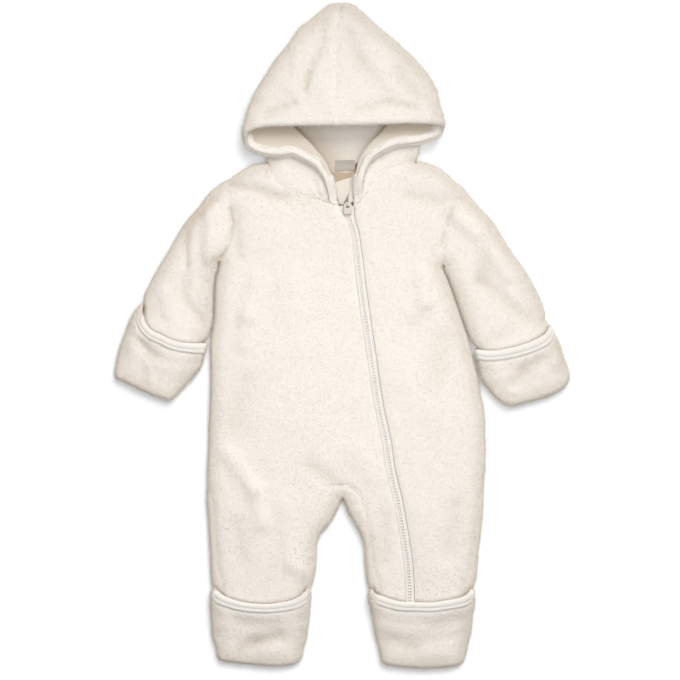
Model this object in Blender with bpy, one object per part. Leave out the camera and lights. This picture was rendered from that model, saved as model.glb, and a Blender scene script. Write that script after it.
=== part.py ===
"""A baby's pramsuit of thick wool fleece, laid flat on its back.

Plan: X to the right, Y from the feet to the hood's tip, Z up from the surface it lies on.
The tables are in millimetres, as measured on the laid-out garment; meshes are in metres.

The suit's cloth is drawn once, as a skin half-way through its thickness: an upper layer and a
lower layer that meet at folded edges. Each face of the skin belongs to a piece. Each piece is then
cut out of it, a little inside its seams, and given the cloth's thickness.
"""
import math

import bmesh
import bpy
import numpy as np

MM = 0.001
# ---------------------------------------------------------------- driving sizes, in millimetres
CLOTH = 3.6            # the fleece, nap included
SEAM = 0.3             # gap left between neighbouring pieces
CENTRE = (0.7, 0.64)   # the plan point that becomes the origin
CORNER_GAP = 0.25      # added to the seam's half gap at the neck's two shoulder corners
CORNER_REACH = 1.5
FLAT = 0.08            # points this near to the surface lie on it
EDGE = 3.0             # radius of a folded edge, at the middle of the cloth
DOME = 1.3             # how far the upper layer rises inside its edges
DOME_REACH = 28.0      # distance over which it does so
EDGE_STEPS = (0.9, 3.0)
NOTCH_STEPS = (2.5, 6.0)
LOWER = CLOTH / 2
MIDDLE = LOWER + EDGE

BINDING_WIDTH = 9.5
BINDING = 4.4          # thickness of the bound edge
HEM_WIDTH = 11.0       # the hood's turned hem
HEM_EXTRA = 2.4        # what the turned hem adds inside
TUCK = 33.0            # how far a sleeve's or leg's upper layer reaches into its mitt or bootie
LEG_FLAT = 17.0        # and how far it goes before it sinks
WRIST_FLAT = 11.0

# number of even steps along each run
SHOULDER_STEPS = 2
NECK_STEPS = 5
NECK_SIDE_STEPS = 3
ARM_STEPS = 6
SIDE_STEPS = 12
LEG_STEPS = 7
SLEEVE_STEPS = 7
CROWN_STEPS = 6
GUSSET_STEPS = 3
RIM_STEPS = 7
NAPE_STEPS = 2
HOOD_STEPS = 5
BAG_STEPS = 4

# ---------------------------------------------------------------- outlines, middle of the cloth
SHOULDER = {
    "left": [(-118, 164.5), (-97, 177.2), (-77, 182)],
    "right": [(120, 161.5), (100.5, 177.3), (77, 184)],
}
NECK_FRONT = {
    "left": [(-77, 182), (-74, 168), (-66, 158), (-48, 149.5), (-28, 144), (-3, 137.2)],
    "right": [(77, 184), (61, 178), (46, 171.5), (36, 162), (27, 150), (13.5, 137.2)],
}
NECK_BACK = {
    "left": [(-77, 182), (-44, 175), (-4, 172)],
    "right": [(77, 184), (45, 175), (-4, 172)],
}
ARMHOLE = {
    "left": [(-118, 164.5), (-117.5, 135), (-114, 117), (-118, 97), (-129, 80)],
    "right": [(120, 161.5), (116, 135), (109, 112), (105, 91), (107, 76)],
}
SIDE = {
    "left": [(-129, 80), (-127.2, 78.2), (-127.2, 74), (-131.2, 58), (-132.2, 41), (-133.2, 16),
             (-137, -7), (-136.6, -35), (-136.7, -56), (-138.2, -98), (-139.7, -140), (-139.6, -156)],
    "right": [(107, 76), (105.1, 74.4), (105.4, 70), (111.8, 56.5), (118.8, 36.5), (127.8, 10.5),
              (134, -9), (140.8, -36), (144.2, -56), (149, -80), (150.1, -104), (150, -132),
              (148.5, -156)],
}
UNDERARM = {
    "left": [(-129, 80), (-131, 78.2), (-131.6, 74), (-135.6, 58), (-136.6, 41), (-137.6, 16),
             (-142, -1), (-145.8, -5.5)],
    "right": [(107, 76), (109.2, 74.4), (110, 70), (116.2, 56.5), (123.2, 36.5), (132.2, 10.5),
              (139.4, -6), (144.2, -12.2)],
}
OVERARM = {
    "left": [(-118, 164.5), (-135, 152.5), (-148.5, 135.8), (-162.3, 119), (-177.3, 94.3),
             (-192, 69.4), (-201.5, 52), (-207.2, 38), (-207.3, 26.8)],
    "right": [(120, 161.5), (128.7, 152.5), (142.6, 135.7), (157.5, 118.8), (168.3, 102),
              (178.6, 86), (191.2, 69), (200.6, 52), (208.3, 35.5), (212.0, 24), (212.6, 17.6)],
}
LEG_OUT = {
    "left": [(-139.6, -156), (-139.8, -172), (-138.6, -190), (-137.3, -210), (-136.3, -233),
             (-135.5, -246), (-132.6, -257), (-132.1, -263.6)],
    "right": [(148.5, -156), (147.6, -172), (146.4, -190), (144.4, -210), (142, -230),
              (140.6, -245), (136.4, -257), (135.2, -263.6)],
}
LEG_IN = {
    "left": [(0.8, -168.6), (-1.4, -170.6), (-3.8, -176), (-6.8, -183), (-11, -191), (-17, -199.5),
             (-24.3, -208), (-27.6, -219), (-28, -235), (-29.6, -247), (-34.4, -258), (-35.2, -263.6)],
    "right": [(0.8, -168.6), (3, -170.6), (5.4, -176), (8, -183), (12.4, -191), (17.4, -199.5),
              (21.8, -208), (25.4, -219), (26, -235), (27.2, -247), (31.2, -258), (32.2, -263.6)],
}
SEAM_OUT = {
    "left": [(-139.6, -156), (-137.5, -164), (-134.6, -176), (-133.6, -190), (-133.2, -205),
             (-130, -232), (-128.6, -246), (-126, -257), (-125, -263.6)],
    "right": [(148.5, -156), (146.6, -164), (143.6, -176), (141.6, -190), (139, -210),
              (135.6, -232), (133.8, -246), (129.6, -257), (128.2, -263.6)],
}
SEAM_IN = {
    "left": [(4, -155.5), (-3, -155.6), (-11, -158), (-18.4, -164.5), (-24, -178), (-28.4, -195),
             (-31.8, -215), (-34.6, -236), (-38, -250), (-42, -263.6)],
    "right": [(4, -155.5), (8.5, -157.5), (14, -161.5), (19.6, -169), (24.7, -184), (28.4, -203),
              (31.6, -222), (34, -240), (37, -252), (40, -263.6)],
}
# the zip's middle, from the neck to the ankle, with half of the width between the two fronts
ZIP_COLUMNS = ("x", "y", "half")
ZIP = [
    (5.25, 137.2, 8.25),
    (8.6, 126, 5.0),
    (14.6, 108, 3.9),
    (18.0, 82, 4.3),
    (21.0, 54.5, 4.6),
    (26.6, 15, 4.6),
    (31.5, -19.4, 4.6),
    (39.4, -72, 4.6),
    (47.3, -109, 4.7),
    (52.2, -141, 4.7),
    (59.3, -170.6, 4.7),
    (65.0, -203, 4.7),
    (70.0, -236, 4.7),
    (72.0, -263.6, 4.5),
]
UNDERARM_LEVEL = 77.0
CROTCH_LEVEL = -155.5

# ---------------------------------------------------------------- the hood
HOOD_SIDE = {   # silhouette from the tip to where the gusset starts, then to the mouth's corner
    "left": [(-2, 348.4), (-10.5, 347.3), (-19, 341.6), (-31, 331.6), (-42.8, 322.4), (-55.5, 304),
             (-68.6, 287), (-79.5, 270), (-89.3, 254.3)],
    "right": [(-2, 348.4), (9.5, 347.3), (18, 341.5), (28.8, 331.5), (38.8, 322.6), (60.6, 303.6),
              (77.6, 286.7), (91.3, 270), (98.2, 256.4)],
}
HOOD_CHEEK = {
    "left": [(-89.3, 254.3), (-95.3, 241.3), (-98.5, 228.8), (-101.2, 216.8), (-102.3, 207)],
    "right": [(98.2, 256.4), (101.4, 241), (105, 228), (106.3, 218)],
}
HOOD_RIM = {
    "left": [(-102.3, 207), (-101.4, 201.5), (-98, 196.5), (-90, 191.8), (-78, 188.6), (-67, 187.8),
             (-55, 189.5), (-40.4, 182), (-25.5, 171.7), (-18.6, 159), (-13, 141.5)],
    "right": [(106.3, 218), (105.4, 212.5), (102, 208), (95, 205), (80.3, 201), (60.4, 199),
              (42, 191), (30, 180), (25, 167), (22.6, 154), (21.6, 143.4)],
}
HOOD_FOLD = {   # where the cheek turns back, hidden down to the mouth, then in sight
    "left": [(-89.3, 254.3), (-72, 240), (-53, 222), (-43, 212), (-31, 199), (-16.5, 180),
             (-10.4, 162), (-5.6, 142.5)],
    "right": [(98.2, 256.4), (75, 243), (49.9, 223), (40, 211), (31, 202), (20.5, 188),
              (16.4, 172), (14.6, 156), (14.4, 144)],
}
HOOD_NECK = {   # side fold of the neck part
    "left": [(-89.3, 254.3), (-86.4, 236), (-82.5, 216), (-79, 198), (-77, 182)],
    "right": [(98.2, 256.4), (93, 236), (86.5, 216), (80.5, 200), (77, 184)],
}
HOOD_BROW = {
    "left": [(-102.3, 207), (-98.5, 213), (-90, 218.6), (-78, 221.2), (-51, 222.4), (-4, 223.4)],
    "right": [(106.3, 218), (102, 220.6), (92, 223), (70, 224.4), (45, 224), (22, 223), (-4, 223.4)],
}
HOOD_CROWN = [(-2, 348.4), (-6, 290), (-4, 223.4)]
HOOD_NAPE = [(-2, 348.4), (-4, 260), (-4, 172)]
TOP_TIP = 8.2          # height of the hood's top layer at the tip
TOP_APEX = 19.0        # where the gusset starts
TOP_CORNER = 23.5      # at the mouth's corners
TOP_BROW = 27.0        # at the middle of the brow
NECK_LAYER = 8.4       # the neck part
LAPEL_LAYER = 12.9     # the turned-back cheek, lying on the neck part
RIM_LIFT = 1.4         # the hem curls up a little

# ---------------------------------------------------------------- mitts and booties
MITT = {
    "left": {
        "mouth": [(-214.5, 30), (-209.5, 17), (-194, 2), (-175, -5), (-159, -7), (-142.2, -8)],
        "outer": [(-214.5, 30), (-219.5, 18), (-226.4, 2.4), (-229.7, -6), (-233.9, -23),
                  (-236.6, -38)],
        "end": [(-236.6, -38), (-235.4, -42.6), (-228, -46), (-211.4, -54.2), (-191, -62.8),
                (-182, -66)],
        "inner": [(-142.2, -8), (-146, -21), (-149.4, -31), (-155.4, -39), (-161.8, -47),
                  (-170, -55.6), (-176, -62.6), (-182, -66)],
    },
    "right": {
        "mouth": [(217, 19), (212.5, 7), (201, -3), (186, -9.5), (168, -14), (153, -15.4),
                  (140.4, -14.4)],
        "outer": [(217, 19), (220.3, 10.4), (227.6, -6), (231.9, -22.6), (236, -33), (238, -41)],
        "end": [(238, -41), (236.4, -47.6), (231, -54.2), (212, -62.8), (192, -68.4), (179, -71.6)],
        "inner": [(140.4, -14.4), (145, -31), (149.5, -46), (156.4, -55), (163.6, -63.4),
                  (171, -69), (179, -71.6)],
    },
}
BOOTIE = {
    "left": {
        "mouth": [(-136.4, -264), (-132, -266.6), (-123.4, -272.5), (-104.5, -279.4), (-80.3, -281.6),
                  (-57.2, -278.8), (-42.4, -273), (-36, -267), (-30.8, -264)],
        "outer": [(-136.4, -264), (-136.2, -283), (-135.2, -300), (-134, -316), (-130.4, -327),
                  (-129.6, -334)],
        "end": [(-129.6, -334), (-126.4, -339), (-118, -341), (-94, -343.3), (-71, -345.2),
                (-52, -343.6), (-45, -340), (-42, -334)],
        "inner": [(-30.8, -264), (-33.4, -275), (-34.8, -291), (-37, -308), (-38.2, -317),
                  (-41.2, -326), (-42, -334)],
    },
    "right": {
        "mouth": [(28, -264), (31, -266.6), (37, -270.6), (49, -277.2), (77.2, -279.6),
                  (106.6, -278.6), (125.5, -274.2), (135, -267.6), (139.4, -264)],
        "outer": [(139.4, -264), (138.5, -283), (136.2, -295), (135, -308), (131, -325),
                  (128.6, -336)],
        "end": [(45, -340), (50, -343.6), (62, -345.2), (82.4, -347.1), (104, -346.4), (117, -345),
                (125.6, -341.4), (128.6, -336)],
        "inner": [(28, -264), (29.8, -276), (33.8, -292), (36, -308), (38, -317), (40.4, -327),
                  (42, -334), (45, -340)],
    },
}
BAG_MOUTH = 13.4       # height of a mitt's or bootie's upper layer at its mouth
BAG_TUCKED = 10.2      # over the end of the hem inside it
BAG_END = 8.2
TUCK_END = 5.9         # height of the hem inside, at its end

# ---------------------------------------------------------------- folds of the upper layer
FOLD_COLUMNS = ("from x", "from y", "to x", "to y", "half width", "height")
FOLDS = [
    (-114, 154, -74, 147, 9, -0.9),
    (-74, 147, -18, 141, 8, -0.8),
    (70, 147, 114, 139, 9, -0.9),
    (-88, 60, -99, 22, 9, 1.6),
    (-99, 22, -103, -8, 9, 1.3),
    (84, 62, 88, 36, 9, 1.6),
    (88, 36, 76, 22, 8, 1.2),
    (-120, -122, -92, -160, 8, 1.4),
    (-92, -160, -84, -196, 8, 1.3),
    (-52, -240, -30, -252, 7, 1.2),
    (-122, 156, -158, 112, 7, -1.0),
    (-158, 112, -164, 56, 7, -1.2),
    (-164, 56, -144, 14, 7, -1.0),
    (-137, 128, -139, 84, 8, 2.4),
    (116, 132, 140, 108, 8, 1.8),
    (148, 84, 146, 58, 8, -1.2),
    (146, 58, 194, 18, 8, -1.0),
    (160, 84, 176, 62, 8, 1.6),
]


# ---------------------------------------------------------------- curves
def smooth(points, per_span=16):
    """A smooth curve through the points, as a dense line."""
    knots = np.array([points[0], *points, points[-1]], float)
    knots[0] = 2 * knots[1] - knots[2]
    knots[-1] = 2 * knots[-2] - knots[-3]
    share = np.linspace(0, 1, per_span, endpoint=False)[:, None]
    line = []
    for before, start, end, after in zip(knots, knots[1:], knots[2:], knots[3:]):
        span = np.linalg.norm(end - start)
        leave = (end - before) / (np.linalg.norm(end - start) + np.linalg.norm(start - before)) * span
        arrive = (after - start) / (np.linalg.norm(after - end) + span) * span
        line.append((2 * share**3 - 3 * share**2 + 1) * start + (share**3 - 2 * share**2 + share) * leave
                    + (3 * share**2 - 2 * share**3) * end + (share**3 - share**2) * arrive)
    return np.vstack([*line, knots[-2:-1]])


def divide(points, even, head=(), tail=(), dense=False):
    """Stations on the curve: fixed steps from each end, even steps between them."""
    line = points if dense else smooth(points)
    reach = np.concatenate([[0], np.cumsum(np.linalg.norm(np.diff(line, axis=0), axis=1))])
    length = reach[-1]
    first = head[-1] if head else 0.0
    last = length - (tail[-1] if tail else 0.0)
    marks = [0.0] if head else []
    marks += [*head[:-1], *np.linspace(first, last, even + 1)]
    marks += [length - step for step in tail[-2::-1]] + ([length] if tail else [])
    return np.column_stack([np.interp(marks, reach, line[:, axis]) for axis in range(line.shape[1])])


def straight(start, end, even, head=(), tail=()):
    return divide(np.array([start, end], float), even, head, tail, dense=True)


def join(*runs):
    """One run from several that follow each other."""
    return np.vstack([runs[0], *[run[1:] for run in runs[1:]]])


def shares(run):
    reach = np.concatenate([[0], np.cumsum(np.linalg.norm(np.diff(run, axis=0), axis=1))])
    return reach / max(reach[-1], 1e-9)


def coons(top, bottom, left, right):
    """A grid between four runs: top and bottom have a point a column, left and right one a row."""
    level = shares(bottom) if np.ptp(top, axis=0).max() < 1e-9 else (shares(top) + shares(bottom)) / 2
    across = level[None, :, None]
    down = ((shares(left) + shares(right)) / 2)[:, None, None]
    grid = ((1 - down) * top[None] + down * bottom[None] + (1 - across) * left[:, None]
            + across * right[:, None]
            - (1 - across) * (1 - down) * top[0] - across * (1 - down) * top[-1]
            - (1 - across) * down * bottom[0] - across * down * bottom[-1])
    return grid


def hug(grid, left=True, right=True):
    """The grid with the columns beside a folded edge kept at their own distances from it."""
    for wanted, view in ((left, grid), (right, grid[:, ::-1])):
        if not wanted:
            continue
        run = np.diff(view[:, 0], axis=0)
        run /= np.linalg.norm(run, axis=1)[:, None]
        along = np.vstack([run[:1], run[1:] + run[:-1], run[-1:]])
        aside = np.column_stack([along[:, 1], -along[:, 0]]) / np.linalg.norm(along, axis=1)[:, None]
        aside *= np.sign(((view[-2:, len(EDGE_STEPS)] - view[-2:, 0]) * aside[-2:]).sum())
        for column, step in enumerate(EDGE_STEPS, 1):
            view[1:-1, column] = view[1:-1, 0] + aside[1:-1] * step
    return grid


def relax(grid, top=1, bottom=1, left=1, right=1, rounds=400):
    """The grid with its inner points spread evenly; the margins given stay as they are."""
    rows, columns = grid.shape[:2]
    wide = np.diff(shares(grid[0]) + shares(grid[-1])) * np.linalg.norm(grid[-1, -1] - grid[-1, 0])
    tall = np.diff(shares(grid[:, 0]) + shares(grid[:, -1])) * np.linalg.norm(grid[-1, 0] - grid[0, 0])
    before, after = wide[left - 1:columns - 1 - right], wide[left:columns - right]
    above, below = tall[top - 1:rows - 1 - bottom], tall[top:rows - bottom]
    before, after = [(1 / (gap * (before + after)))[None, :, None] for gap in (before, after)]
    above, below = [(1 / (gap * (above + below)))[:, None, None] for gap in (above, below)]
    inner_rows, inner_columns = slice(top, rows - bottom), slice(left, columns - right)
    for _ in range(rounds):
        grid[inner_rows, inner_columns] = (
            grid[inner_rows, left - 1:columns - right - 1] * before
            + grid[inner_rows, left + 1:columns - right + 1] * after
            + grid[top - 1:rows - bottom - 1, inner_columns] * above
            + grid[top + 1:rows - bottom + 1, inner_columns] * below) / (before + after + above + below)
    return grid


def distance(points, line):
    """How far each plan point lies from a dense line."""
    start = line[:-1]
    along = line[1:] - start
    length = np.maximum((along**2).sum(1), 1e-12)
    share = np.clip(((points[:, None] - start) * along).sum(2) / length, 0, 1)
    return np.linalg.norm(points[:, None] - start - share[..., None] * along, axis=2).min(1)


def arc(share):
    """Height of a quarter circle over its radius."""
    return np.sqrt(1 - (1 - np.clip(share, 0, 1)) ** 2)


def ease(share):
    share = np.clip(share, 0, 1)
    return share * share * (3 - 2 * share)


# ---------------------------------------------------------------- heights of the two layers
BODY_EDGES = [smooth(table[side]) for table in (SHOULDER, SIDE, UNDERARM, OVERARM, LEG_OUT, LEG_IN)
              for side in ("left", "right")]


def edge_distance(plan, edges):
    flat = plan.reshape(-1, 2)
    nearest = np.min([distance(flat, line) for line in edges], axis=0)
    nearest[nearest < 0.05] = 0
    return nearest.reshape(plan.shape[:-1])


def folds(plan):
    flat = plan.reshape(-1, 2)
    height = np.zeros(len(flat))
    for x0, y0, x1, y1, half, rise in FOLDS:
        away = distance(flat, np.array([(x0, y0), (x1, y1)], float))
        height += rise * np.exp(-(away / half) ** 2)
    return height.reshape(plan.shape[:-1])


def body_upper(plan):
    away = edge_distance(plan, BODY_EDGES)
    rise = DOME * (1 - np.exp(-away / DOME_REACH)) + folds(plan) * ease(away / 9)
    return np.dstack([plan, MIDDLE + EDGE * arc(away / EDGE) + rise]) if plan.ndim == 3 else \
        np.column_stack([plan, MIDDLE + EDGE * arc(away / EDGE) + rise])


def body_lower(plan):
    away = edge_distance(plan, BODY_EDGES)
    height = MIDDLE - EDGE * arc(away / EDGE)
    return np.dstack([plan, height]) if plan.ndim == 3 else np.column_stack([plan, height])


# ---------------------------------------------------------------- the skin
class Skin:
    """Cloth drawn as one surface; each face carries the number of the piece it belongs to."""

    def __init__(self, pieces):
        self.mesh = bmesh.new()
        self.pieces = pieces

    def patch(self, grid, piece, up):
        """Rows run down the garment, columns across it; up says which way the outside faces."""
        verts = [[self.mesh.verts.new(point) for point in row] for row in grid]
        across = np.nanmean(grid[:, -1, 0] - grid[:, 0, 0])
        down = np.nanmean(grid[-1, :, 1] - grid[0, :, 1])
        keep = (across * down < 0) == up
        for upper, lower in zip(verts, verts[1:]):
            for here, there in zip(range(len(upper)), range(1, len(upper))):
                corners = [upper[here], lower[here], lower[there], upper[there]]
                face = self.mesh.faces.new(corners if keep else corners[::-1])
                face.material_index = self.pieces.index(piece)

    def weld(self):
        bmesh.ops.remove_doubles(self.mesh, verts=self.mesh.verts, dist=0.03)
        self.mesh.normal_update()
        self.mesh.verts.index_update()


def inward(loop_edge, face):
    """Direction in the face, away from one of its edges."""
    start, end = loop_edge.verts
    along = (end.co - start.co).normalized()
    into = face.normal.cross(along)
    if into.dot(face.calc_center_median() - start.co) < 0:
        into = -into
    return into


def pull_back(point):
    """How far a piece stops short of its seam: more where the hood, front and back meet."""
    corner = min(math.dist(point[:2], NECK_FRONT[side][0]) for side in NECK_FRONT)
    return SEAM / 2 + (CORNER_GAP if corner < CORNER_REACH else 0.0)


def cut_out(skin, piece, name, colour, inner=None, thickness=CLOTH):
    """One piece of the skin, cut a little inside its seams and given its thickness."""
    number = skin.pieces.index(piece)
    faces = [face for face in skin.mesh.faces if face.material_index == number]
    members = set(faces)
    rims = {}
    for face in faces:
        for edge in face.edges:
            if sum(other in members for other in edge.link_faces) == 1:
                step = inward(edge, face)
                for vert in edge.verts:
                    rims.setdefault(vert, []).append(step)
    solid = bmesh.new()
    outside, inside = {}, {}
    for vert in {vert for face in faces for vert in face.verts}:
        centre = vert.co.copy()
        if vert in rims:
            steps = rims[vert]
            total = sum(steps[1:], steps[0].copy())
            total -= vert.normal * total.dot(vert.normal)
            scale = max(min(total.dot(step) for step in steps), 0.35)
            centre += total * (pull_back(centre) / scale)
        depth = thickness / 2 + (inner(vert.co) if inner else 0.0)
        outside[vert] = solid.verts.new((centre + vert.normal * thickness / 2) * MM)
        inside[vert] = solid.verts.new((centre - vert.normal * depth) * MM)
    for face in faces:
        solid.faces.new([outside[vert] for vert in face.verts])
        solid.faces.new([inside[vert] for vert in reversed(face.verts)])
        for loop in face.loops:
            if sum(other in members for other in loop.edge.link_faces) == 1:
                start, end = loop.vert, loop.link_loop_next.vert
                corners = [outside[end], outside[start], inside[start], inside[end]]
                turn = 1 if start.index < end.index else 0
                corners = corners[turn:] + corners[:turn]
                solid.faces.new(corners[:3])
                solid.faces.new([corners[0], corners[2], corners[3]])
    return finish(solid, name, colour)


def finish(solid, name, colour, roughness=0.95, metallic=0.0):
    """The mesh as a named object with its own material, with the garment's origin at zero."""
    for vert in solid.verts:
        vert.co.x -= CENTRE[0] * MM
        vert.co.y -= CENTRE[1] * MM
        if abs(vert.co.z) < FLAT * MM:
            vert.co.z = 0.0
    mesh = bpy.data.meshes.new(name)
    solid.to_mesh(mesh)
    solid.free()
    mesh.shade_smooth()
    mesh.set_sharp_from_angle(angle=math.radians(50))
    item = bpy.data.objects.new(name, mesh)
    bpy.context.scene.collection.objects.link(item)
    material = bpy.data.materials.new(name)
    material.use_nodes = True
    shader = material.node_tree.nodes["Principled BSDF"]
    shader.inputs["Base Color"].default_value = (*colour, 1.0)
    shader.inputs["Roughness"].default_value = roughness
    shader.inputs["Metallic"].default_value = metallic
    mesh.materials.append(material)
    return item


# ---------------------------------------------------------------- body and sleeves
def zip_line(side):
    """The edge of one front along the zip, in three runs: chest, belly and leg."""
    rows = np.array(ZIP)
    shift = -rows[:, 2] if side == "left" else rows[:, 2]
    line = smooth(np.column_stack([rows[:, 0] + shift, rows[:, 1]]))
    levels = [line[0, 1], UNDERARM_LEVEL, CROTCH_LEVEL, line[-1, 1]]
    runs = []
    for high, low in zip(levels, levels[1:]):
        ends = [(np.interp(-level, -line[:, 1], line[:, 0]), level) for level in (high, low)]
        inner = line[(line[:, 1] < high - 0.01) & (line[:, 1] > low + 0.01)]
        runs.append(np.vstack([ends[:1], inner, ends[1:]]))
    chest = divide(runs[0], ARM_STEPS, EDGE_STEPS, EDGE_STEPS, dense=True)
    belly = divide(runs[1], SIDE_STEPS, NOTCH_STEPS, dense=True)
    leg = divide(runs[2], LEG_STEPS, NOTCH_STEPS, dense=True)
    return chest, belly, leg


def ruled(start, end, marks):
    """A grid of straight rows between two runs."""
    marks = np.array(marks)[None, :, None]
    return start[:, None] * (1 - marks) + end[:, None] * marks


def tuck(row, direction, flat):
    """The hidden hem inside a mitt or bootie: the row carried on, sinking towards the lower layer."""
    rows = [row]
    for step in (TUCK / 3, 2 * TUCK / 3, TUCK):
        sunk = ease((step - flat) / (TUCK - flat))
        plan = row[:, :2] + np.array(direction) * step
        rows.append(np.column_stack([plan, row[:, 2] * (1 - sunk) + TUCK_END * sunk]))
    return np.array(rows)


STRIP = (0, 0.12, 0.4, 1)
EVEN_SIDE = {side: divide(SIDE[side], SIDE_STEPS, NOTCH_STEPS) for side in SIDE}
EVEN_ARMHOLE = {side: divide(ARMHOLE[side], ARM_STEPS, EDGE_STEPS, EDGE_STEPS) for side in ARMHOLE}
EVEN_SHOULDER = {side: divide(SHOULDER[side], SHOULDER_STEPS, EDGE_STEPS) for side in SHOULDER}


def leg_run(table, side):
    return divide(table[side], LEG_STEPS, NOTCH_STEPS)


def chest_panel(grid):
    """The grid with its first rows following the shoulder and the neck."""
    hug(grid.swapaxes(0, 1), right=False)
    return relax(grid, top=len(EDGE_STEPS) + 1)


def front_left(skin):
    chest, belly, leg = zip_line("left")
    neck = divide(NECK_FRONT["left"], NECK_STEPS, EDGE_STEPS)
    seam_out, seam_in, seam_far = (leg_run(SEAM_OUT, "left"), leg_run(SEAM_IN, "left"),
                                   leg_run(SEAM_IN, "right"))
    columns = SHOULDER_STEPS + NECK_STEPS + len(EDGE_STEPS)
    level = straight(EVEN_SIDE["left"][0], belly[0], columns, EDGE_STEPS)
    upper = chest_panel(coons(join(EVEN_SHOULDER["left"], neck), level, EVEN_ARMHOLE["left"], chest))
    split = columns - 2
    near = straight(EVEN_SIDE["left"][-1], seam_in[0], split, EDGE_STEPS)
    far = straight(seam_in[0], leg[0], 2)
    lower = hug(coons(level, join(near, far), EVEN_SIDE["left"], belly), right=False)
    near_leg = coons(near, straight(seam_out[-1], seam_in[-1], split, EDGE_STEPS), seam_out, seam_in)
    far_leg = coons(far, straight(seam_far[-1], leg[-1], 2), seam_far, leg)
    for plan in (upper, lower, near_leg, far_leg):
        skin.patch(body_upper(plan), "front_left", up=True)
    for plan in (near_leg, far_leg):
        skin.patch(tuck(body_upper(plan[-1]), (0, -1), LEG_FLAT), "front_left", up=True)


def front_right(skin):
    chest, belly, leg = zip_line("right")
    neck = divide(NECK_FRONT["right"], NECK_STEPS, EDGE_STEPS)[::-1]
    columns = SHOULDER_STEPS + NECK_STEPS + len(EDGE_STEPS)
    seam_out = leg_run(SEAM_OUT, "right")
    level = straight(belly[0], EVEN_SIDE["right"][0], columns, tail=EDGE_STEPS)
    upper = chest_panel(coons(join(neck, EVEN_SHOULDER["right"][::-1]), level, chest,
                              EVEN_ARMHOLE["right"]))
    hip = straight(leg[0], EVEN_SIDE["right"][-1], columns, tail=EDGE_STEPS)
    lower = hug(coons(level, hip, belly, EVEN_SIDE["right"]), left=False)
    ankle = straight(leg[-1], seam_out[-1], columns, tail=EDGE_STEPS)
    legs = coons(hip, ankle, leg, seam_out)
    for plan in (upper, lower, legs):
        skin.patch(body_upper(plan), "front_right", up=True)
    skin.patch(tuck(body_upper(legs[-1]), (0, -1), LEG_FLAT), "front_right", up=True)


def back(skin):
    nape = [divide(NECK_BACK[side], NAPE_STEPS, EDGE_STEPS) for side in ("left", "right")]
    top = join(EVEN_SHOULDER["left"], nape[0], nape[1][::-1], EVEN_SHOULDER["right"][::-1])
    half = len(top) // 2
    level = straight(EVEN_SIDE["left"][0], EVEN_SIDE["right"][0], 2 * half - 4, EDGE_STEPS, EDGE_STEPS)
    upper = coons(top, level, EVEN_ARMHOLE["left"], EVEN_ARMHOLE["right"])
    crotch = LEG_IN["left"][0]
    hips = {side: straight(EVEN_SIDE[side][-1], crotch, half - 4, EDGE_STEPS, EDGE_STEPS)
            for side in ("left", "right")}
    lower = hug(coons(level, join(hips["left"], hips["right"][::-1]), EVEN_SIDE["left"], EVEN_SIDE["right"]))
    for plan in (upper, lower):
        skin.patch(body_lower(plan), "back", up=False)
    for side in ("left", "right"):
        outer, inner = leg_run(LEG_OUT, side), leg_run(LEG_IN, side)
        ankle = straight(outer[-1], inner[-1], half - 4, EDGE_STEPS, EDGE_STEPS)
        skin.patch(body_lower(hug(coons(hips[side], ankle, outer, inner))), "back", up=False)
        skin.patch(body_upper(ruled(outer, leg_run(SEAM_OUT, side), STRIP)), "back", up=True)
        skin.patch(body_upper(ruled(inner, leg_run(SEAM_IN, side), STRIP)), "back", up=True)


def sleeve(skin, side):
    outer = divide(OVERARM[side], SLEEVE_STEPS, NOTCH_STEPS)
    inner = divide(UNDERARM[side], SLEEVE_STEPS, NOTCH_STEPS)
    wrist = straight(outer[-1], inner[-1], ARM_STEPS, EDGE_STEPS, EDGE_STEPS)
    plan = relax(hug(coons(EVEN_ARMHOLE[side], wrist, outer, inner)), left=3, right=3)
    name = "sleeve_" + side
    skin.patch(body_upper(plan), name, up=True)
    skin.patch(body_lower(plan), name, up=False)
    along = wrist[-1] - wrist[0]
    turn = -1 if side == "left" else 1
    direction = np.array([-turn * along[1], turn * along[0]]) / np.linalg.norm(along)
    skin.patch(tuck(body_upper(plan[-1])[2:-2], direction, WRIST_FLAT), name, up=True)


# ---------------------------------------------------------------- hood
def layered(start, end, level, rounding, steps):
    """Rows between two folds at their own heights, lying at a level of their own between them."""
    rows = []
    for first, last, middle in zip(start, end, level):
        width = np.linalg.norm(last[:2] - first[:2])
        near, far = rounding
        marks = [0, near * 0.3, near, *np.linspace(near, width - far, steps + 1)[1:-1], width - far,
                 width - far * 0.3, width]
        even = np.array([0, 0.1, 0.28, *np.linspace(0.28, 0.72, steps + 1)[1:-1], 0.72, 0.9, 1])
        wide = ease(width / (near + far) / 2 - 0.5)
        marks = wide * np.array(marks) + (1 - wide) * even * width
        share = marks / max(width, 1e-9) if width > 1e-6 else even
        plan = first[:2] + (last[:2] - first[:2]) * share[:, None]
        slope = first[2] + (last[2] - first[2]) * (wide * share + (1 - wide) * even)
        bend = middle + (first[2] - middle) * (1 - arc(marks / near)) \
            + (last[2] - middle) * (1 - arc((width - marks) / far))
        rows.append(np.column_stack([plan, wide * bend + (1 - wide) * slope]))
    return np.array(rows)


def raised(run, heights):
    return np.column_stack([run, heights])


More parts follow.
